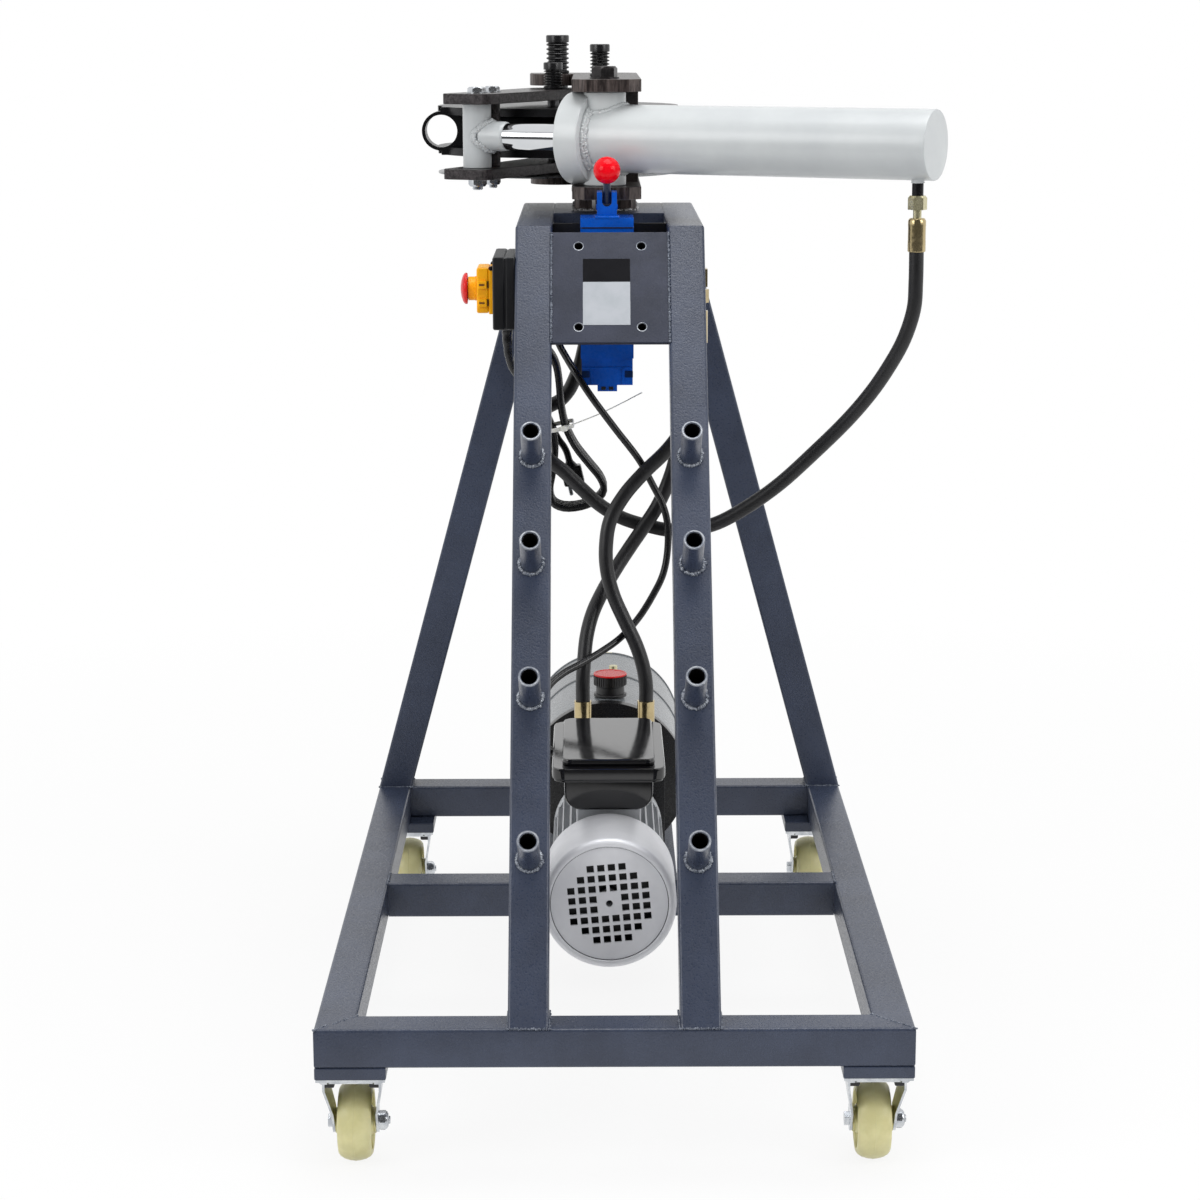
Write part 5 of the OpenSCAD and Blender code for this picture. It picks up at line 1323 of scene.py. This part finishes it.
motor_place = aimed((unit_x, motor_y, motor_z), (0, 1, 0))
motor_profile = [
    (11, 0), (64.6, 0), (66.2, 1.4), (66.2, 7), (65.4, 8), (53, 8), (53, 176), (58.4, 176),
    (60, 177.6), (60, 188.4), (58.6, 190), (48, 190), (48, 210), (11, 210),
]
motor_frame = [
    turned(motor_profile, motor_place, 96, closed=True),
    block((unit_x - 34, motor_y + 12, motor_z + 53), (unit_x + 34, motor_y + 142, motor_z + 74),
          2.5),
]
made("motor_frame", "root", [cast_silver], motor_frame, ["motor_body"])
ribbed("motor_fins", "root", cast_silver, motor_place @ at(0, 0, 92), 30, 56.4,
       (7.4, 2.4, 168))
cowl_line = [
    turned([(59.6, 2.44), (60.6, 2.44)], aimed((unit_x, cowl_y, motor_z), (0, 1, 0)), 96, 1)
]
merged_copy("motor_cowl", "fan_cowl", [cowl_silver, pressed_line], 0, None,
            cowl_line)
merged_copy("rotor_shaft", "rotor", [pin_steel])
merged_copy("cooling_fan", "fan_wheel", [black_abs])

# The terminal box: pressed steel in a thick gloss black enamel that mirrors the hoses. Its lid
# has a turned-down skirt and a raised middle, and the cable enters through a plastic gland.
gloss_black = finish(
    "gloss black enamel", "#131315", "#18181b", 0.11, patch=60, grain=6.0, height=0.02,
    spread=0.03, sockets={"Coat Weight": 0.35, "Coat Roughness": 0.08},
)
box_foot, lid_z, lid_top = 309, 343.5, 356.5
case_half, case_round = 46.5, 18
case_outline = [(-case_half, lid_z), (-case_half, box_foot + case_round)]
case_outline += [
    (x - case_half + case_round, y + box_foot + case_round)
    for x, y in arc(case_round, 195, 75, 5)
]
case_outline += [(-x, y) for x, y in reversed(case_outline)]
case_place = axes((unit_x, -36, 0), (1, 0, 0), UP)
terminal = [
    plate(case_outline, 176, case_place, 2.5),
    plate(rounded_rectangle(118, 200, 14, 6), lid_top - lid_z, at(unit_x, -124, lid_z), 2.2),
    plate(rounded_rectangle(114, 196, 12, 6), 3, at(unit_x, -124, lid_z - 2), 0.8),
    plate(rounded_rectangle(97, 177, 11, 6), 7, at(unit_x, -124, lid_top), 2.6),
]
cable_gland = aimed((-50.8, -74, 335), (-1, 0, 0))
terminal.append(hexagon(15.5, 4, cable_gland))
terminal.append(turned([(4.1, 3.8), (6.6, 3.8), (7, 4.4), (6.7, 6.4), (5.6, 7.4), (4.1, 7.6)],
                       cable_gland, 32, closed=True))
made("terminal_case", "root", [gloss_black], terminal, ["terminal_box"])

# The pump block and the oil tank: a black block with the tank's neck ring, and a drawn steel
# tank in glossy grey with thin black bands. A steel breather stands behind the filler.
# Pump and bands are satin black. The tank's thick grey coat is glossy over a faint ripple.
pump_enamel = finish("black pump enamel", "#111113", "#17171a", 0.3, patch=30, grain=2.0)
tank_enamel = finish(
    "grey tank enamel", "#7f8387", "#757a7e", 0.28, patch=80, grain=4.0, height=0.06, spread=0.04,
    sockets={"Specular IOR Level": 0.35, "Coat Weight": 0.12, "Coat Roughness": 0.12},
)
band_black = finish("black tank band", "#141416", "#1b1b1e", 0.34, patch=20, grain=1.2)
merged_copy("pump_block", "pump_housing", [pump_enamel], 1.5)


def tank_mark(face):
    """1 on a band and 2 on the breather, by where a face of the tank lies."""
    middle = face.calc_center_median() / MM
    if middle.z > tank_z + tank_d / 2 + 0.6 and middle.y > 190:
        return 2
    return int(hypot(middle.x - unit_x, middle.z - tank_z) > tank_d / 2 + 0.2)


merged_copy("oil_tank", "tank_shell", [tank_enamel, band_black, pale_zinc], 0.6,
            tank_mark)

# The filler cap: a black neck under a knurled black grip, both moulded, with a flat red disc
# snapped on top. The grip is satin, and the disc is smoother.
cap_plastic = finish("knurled black cap", "#121214", "#18181a", 0.34, patch=14, grain=0.9)
cap_red = finish(
    "red cap disc", "#d01a1c", "#c41517", 0.28, patch=20, grain=1.0, height=0.02,
    sockets={"Specular IOR Level": 0.35},
)
cap_place = at(0, 155, 341.3)
cap_body = frame["nodes"]["filler_cap"]["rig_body"]
cap = [
    turned([(0, 0), (19, 0), (19.2, 0.6), (19.2, 2.2), (18.4, 3), (16.6, 3.4), (16.4, 11),
            (17.2, 12.6), (18.6, 13), (18.6, 24.4), (17, 25.2), (0, 25.2)], cap_place, 64),
    turned([(0, 24.8), (19, 24.8), (19.5, 25.2), (19.5, 26.2), (19, 26.8), (17.2, 26.8),
            (16.8, 26.4), (0, 26.4)], cap_place, 64, 1),
]
made("tank_cap", cap_body, [cap_plastic, cap_red], cap, ["filler_cap"])
ribbed("cap_knurls", cap_body, cap_plastic, cap_place @ at(0, 0, 18.8), 40, 18.6,
       (1.6, 1.5, 10.4))

# Hoses and cables: extruded rubber over braid for the oil, and round flexible leads. Each runs
# from its own fitting along the line it has in the CAD model.
# The hoses' rubber is dull with a fine grain, and the leads' sheath is smoother and shines.
hose_rubber = finish(
    "extruded hose rubber", "#111113", "#18181b", 0.42, patch=30, grain=1.6, height=0.06
)
lead_rubber = finish(
    "black lead sheath", "#0f0f11", "#141417", 0.26, patch=30, grain=2.0, height=0.03
)


def smooth_line(route, steps=6):
    """A smooth curve through every point of a route, in mm."""
    pts = [Vector(p) for p in route]
    line = []
    for i in range(len(pts) - 1):
        p0 = pts[i - 1] if i else pts[0] * 2 - pts[1]
        p3 = pts[i + 2] if i + 2 < len(pts) else pts[-1] * 2 - pts[-2]
        p1, p2 = pts[i], pts[i + 1]
        for k in range(steps):
            t = k / steps
            line.append(
                0.5 * (2 * p1 + (p2 - p0) * t + (2 * p0 - 5 * p1 + 4 * p2 - p3) * t ** 2
                       + (3 * p1 - p0 - 3 * p2 + p3) * t ** 3)
            )
    return line + [pts[-1]]


def swept(line, radius, sides=20, mark=0, flat=1.0):
    """A tube along a line, closed at both ends: one radius, or one for each point."""
    side = Vector((0, 1, 0))
    points, faces = [], []
    radii = radius if isinstance(radius, list) else [radius] * len(line)
    for i, centre in enumerate(line):
        along = (line[min(i + 1, len(line) - 1)] - line[max(i - 1, 0)]).normalized()
        side = (side - along * along.dot(side)).normalized()
        up = along.cross(side)
        for k in range(sides):
            a = 2 * pi * k / sides
            points.append(centre + radii[i] * (cos(a) * side + flat * sin(a) * up))
    for i in range(len(line) - 1):
        for k in range(sides):
            a, b = i * sides + k, i * sides + (k + 1) % sides
            faces.append((a, b, b + sides, a + sides))
    faces.append(list(range(sides))[::-1])
    faces.append([len(points) - sides + k for k in range(sides)])
    return points, faces, [mark] * len(faces)


routes = {}
routes["cylinder_hose"] = [
    (port.x, port.y, port_bottom), (port.x, port.y, 838), (329, 7, 808), (320, 14, 775),
    (306, 24, 745), (287, 36, 713), (262, 49, 680), (229, 66, 643), (192, 82, 605),
    (156, 95, 576), (122, 106, 555), (92, 115, 546), (67, 123, 544), (46, 129, 547),
    (23, 131, 553), (5, 131, 561), (-14, 129, 574), (-33, 127, 592), (-52, 126, 611),
    (-68, 126, 624), (-83, 132, 635), (-95, 143, 645), (-102, 160, 653), (-102, 178, 659),
    (-95, 193, 664), (-83, 204, 669), (-70, 210, 675), (-57, 211, 682), (-47, 207, 694),
    (-40, 200, 709), (-34, 192, 726), (-30, 185, 742), (-27, 180, 756), (-26, 178, 768),
    (-26, 178, 784),
]
routes["pressure_hose"] = [
    (39.5, 30, 366), (39.5, 30, 384), (36, 33, 406), (28, 37, 430), (15, 42, 457),
    (3, 47, 484), (-4, 51, 512), (-5, 56, 539), (0, 62, 567), (16, 70, 594), (39, 78, 619),
    (62, 86, 640), (80, 94, 662), (93, 100, 688), (99, 104, 717), (100, 105, 744),
    (100, 105, 761),
]
routes["return_hose"] = [
    (-31.5, 30, 366), (-31.5, 30, 387), (-30, 36, 411), (-27, 47, 437), (-20, 60, 461),
    (-8, 74, 484), (7, 88, 507), (22, 99, 528), (38, 107, 550), (53, 113, 572),
    (65, 118, 597), (74, 122, 625), (78, 124, 657), (79, 125, 692), (79, 125, 744),
    (79, 125, 761),
]
routes["motor_cable"] = [
    (-92, 138, 801), (-82, 138, 801), (-74, 134, 796), (-67, 126, 784), (-61, 117, 770),
    (-56, 109, 757), (-48, 99, 744), (-38, 87, 729), (-20, 82, 702), (6, 88, 666),
    (32, 94, 631), (47, 96, 603), (59, 96, 579), (65, 94, 556), (65, 90, 527), (60, 84, 501),
    (49, 76, 479), (32, 65, 454), (11, 50, 434), (-12, 34, 421), (-35, 18, 411), (-53, 5, 404),
    (-68, -9, 394), (-78, -26, 379), (-82, -44, 362), (-80, -60, 347), (-74, -71, 338),
    (-67, -74, 335), (-58, -74, 335),
]


def length_of(line):
    """The length of a line of points, in metres."""
    return sum((b - a).length for a, b in zip(line, line[1:])) * MM


def strain_relief(name, line, length=25, base=6.4, tip=4.3):
    """A tapered rubber sleeve with ring grooves, round the first stretch of a cable."""
    stretch = [line[0]]
    while length_of(stretch) < length * MM:
        stretch.append(line[len(stretch)])
    last = len(stretch) - 1
    radii = [base + (tip - base) * i / last - (0.6 if i % 3 == 1 else 0) for i in range(last + 1)]
    return made(name, "root", [lead_rubber], [swept(stretch, radii, 24)], (), 60)


for node, route in routes.items():
    line = smooth_line(route)
    is_hose = node.endswith("hose")
    diameter, slot, material = (
        (16, "hose_rubber", hose_rubber) if is_hose else (8, "cord_black", lead_rubber)
    )
    crosses_joint = node == "cylinder_hose"
    run = made(
        f"{node}_run", None if crosses_joint else "root", [material],
        [swept(line, diameter / 2, 24)], [node], 60,
    )
    if crosses_joint:
        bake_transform(run)
    print(node, "length", round(length_of(line), 4))
    sleeves = []
    if not is_hose:
        sleeves = [strain_relief("cable_relief_top", line),
                   strain_relief("cable_relief_bottom", line[::-1])]

# The mains lead: it leaves the switch box's lower gland, drops to a hank tied at its waist
# behind the left post, and ends in its plug inside the hank. A white tie holds the hank.
hank_middle = Vector((-55, 150, 658))
hank_lean = 13
hank_tilt = radians(hank_lean)
hank_from, hank_to, loop_step = 150, 1620, 9.2
hank_last_y = hank_middle.y + loop_step * (hank_to - hank_from) / 360
hank_half, waist_half, lobe, sideways = 95, 8, 56, 16


def hank_place(across, up, y):
    """A place in the hank's own tilted plane, at a depth."""
    return Vector((
        hank_middle.x + across * cos(hank_tilt) - up * sin(hank_tilt), y,
        hank_middle.z + across * sin(hank_tilt) + up * cos(hank_tilt),
    ))


def hank_point(degrees):
    """The hank's line: loops drawn in at the tie, stepping towards the back."""
    a = radians(degrees)
    across = cos(a) * (waist_half + lobe * sin(a) ** 2 * (1 - 0.3 * sin(a)))
    swing = sideways * ((1 + sin(a)) / 2) ** 2
    y = hank_middle.y + loop_step * (degrees - hank_from) / 360
    return hank_place(across, hank_half * sin(a), y) - Vector((swing, 0, 0))


course = (hank_point(hank_from + 1) - hank_point(hank_from)).normalized()
hank_tail = [(-10.5, -9), (-8, -18), (-4.5, -26), (-2.5, -34), (-2, -43)]
lead_route = [
    (-116, 140, 770), (-116, 140, 757), (-115, 141, 742), (-111, 144, 728), (-103, 148, 716),
    hank_point(hank_from) - 9 * course,
]
lead_route += [hank_point(a) for a in range(hank_from, hank_to + 1, 15)]
lead_route += [hank_place(x, up, hank_last_y) for x, up in hank_tail]
lead_line = smooth_line(lead_route, 3)
plug_place = at(*hank_place(-2, -43, hank_last_y)) @ at(0, 0, 0, ry=180 - hank_lean)
plug_parts = [
    turned([(0, 0), (4, 0), (4.4, 2), (8.6, 8.4), (8.6, 9), (0, 9)], plug_place, 32),
    plate(rounded_rectangle(24, 18, 4, 4), 22, plug_place @ at(0, 0, 8), 2.0),
]
plug_pin = [(0, 0), (2.4, 0), (2.4, 11), (1.6, 12), (0, 12)]
plug_parts += [turned(plug_pin, plug_place @ at(x, 0, 30), 20, 1) for x in (-6.5, 6.5)]
plug = made("mains_plug", "root", [lead_rubber, zinc], plug_parts, ["power_plug"])
mains_lead = made(
    "mains_lead", "root", [lead_rubber], [swept(lead_line, 4, 16)],
    ["power_cord_lead", "power_cord_hank"], 60,
)
print("mains_lead length", round(length_of(lead_line), 4))
lead_relief = strain_relief("lead_relief", lead_line, 28)
# White nylon lets light in, so the tie has soft edges to its shade.
tie_nylon = finish(
    "white nylon tie", "#e4e4df", "#d8d8d2", 0.35, patch=14, grain=0.8, height=0.02,
    sockets={"Subsurface Weight": 0.2, "Subsurface Radius": (0.002, 0.002, 0.0015)},
)
hank_across = Vector((cos(hank_tilt), 0, sin(hank_tilt)))
hank_mid_y = (hank_middle.y + hank_last_y) / 2
tie_place = axes(hank_place(0, -2.4, hank_mid_y), hank_across, (0, 1, 0))
tail_route = [hank_place(6, 1, hank_mid_y - 27), (-34, 138, 667), (-12, 130, 677), (12, 120, 690),
              (36, 110, 704)]
tie = [
    plate(rounded_rectangle(28.4, 50.4, 8, 5), 4.8, tie_place, 0.4,
          [rounded_rectangle(26, 48, 7, 5)]),
    plate(rounded_rectangle(7, 7, 1, 3), 6.4, tie_place @ at(3, -27.4, -0.8), 0.8),
    swept(smooth_line(tail_route, 5), 1.9, 12, flat=0.35),
]
hank_tie = made("hank_tie", "root", [tie_nylon], tie)
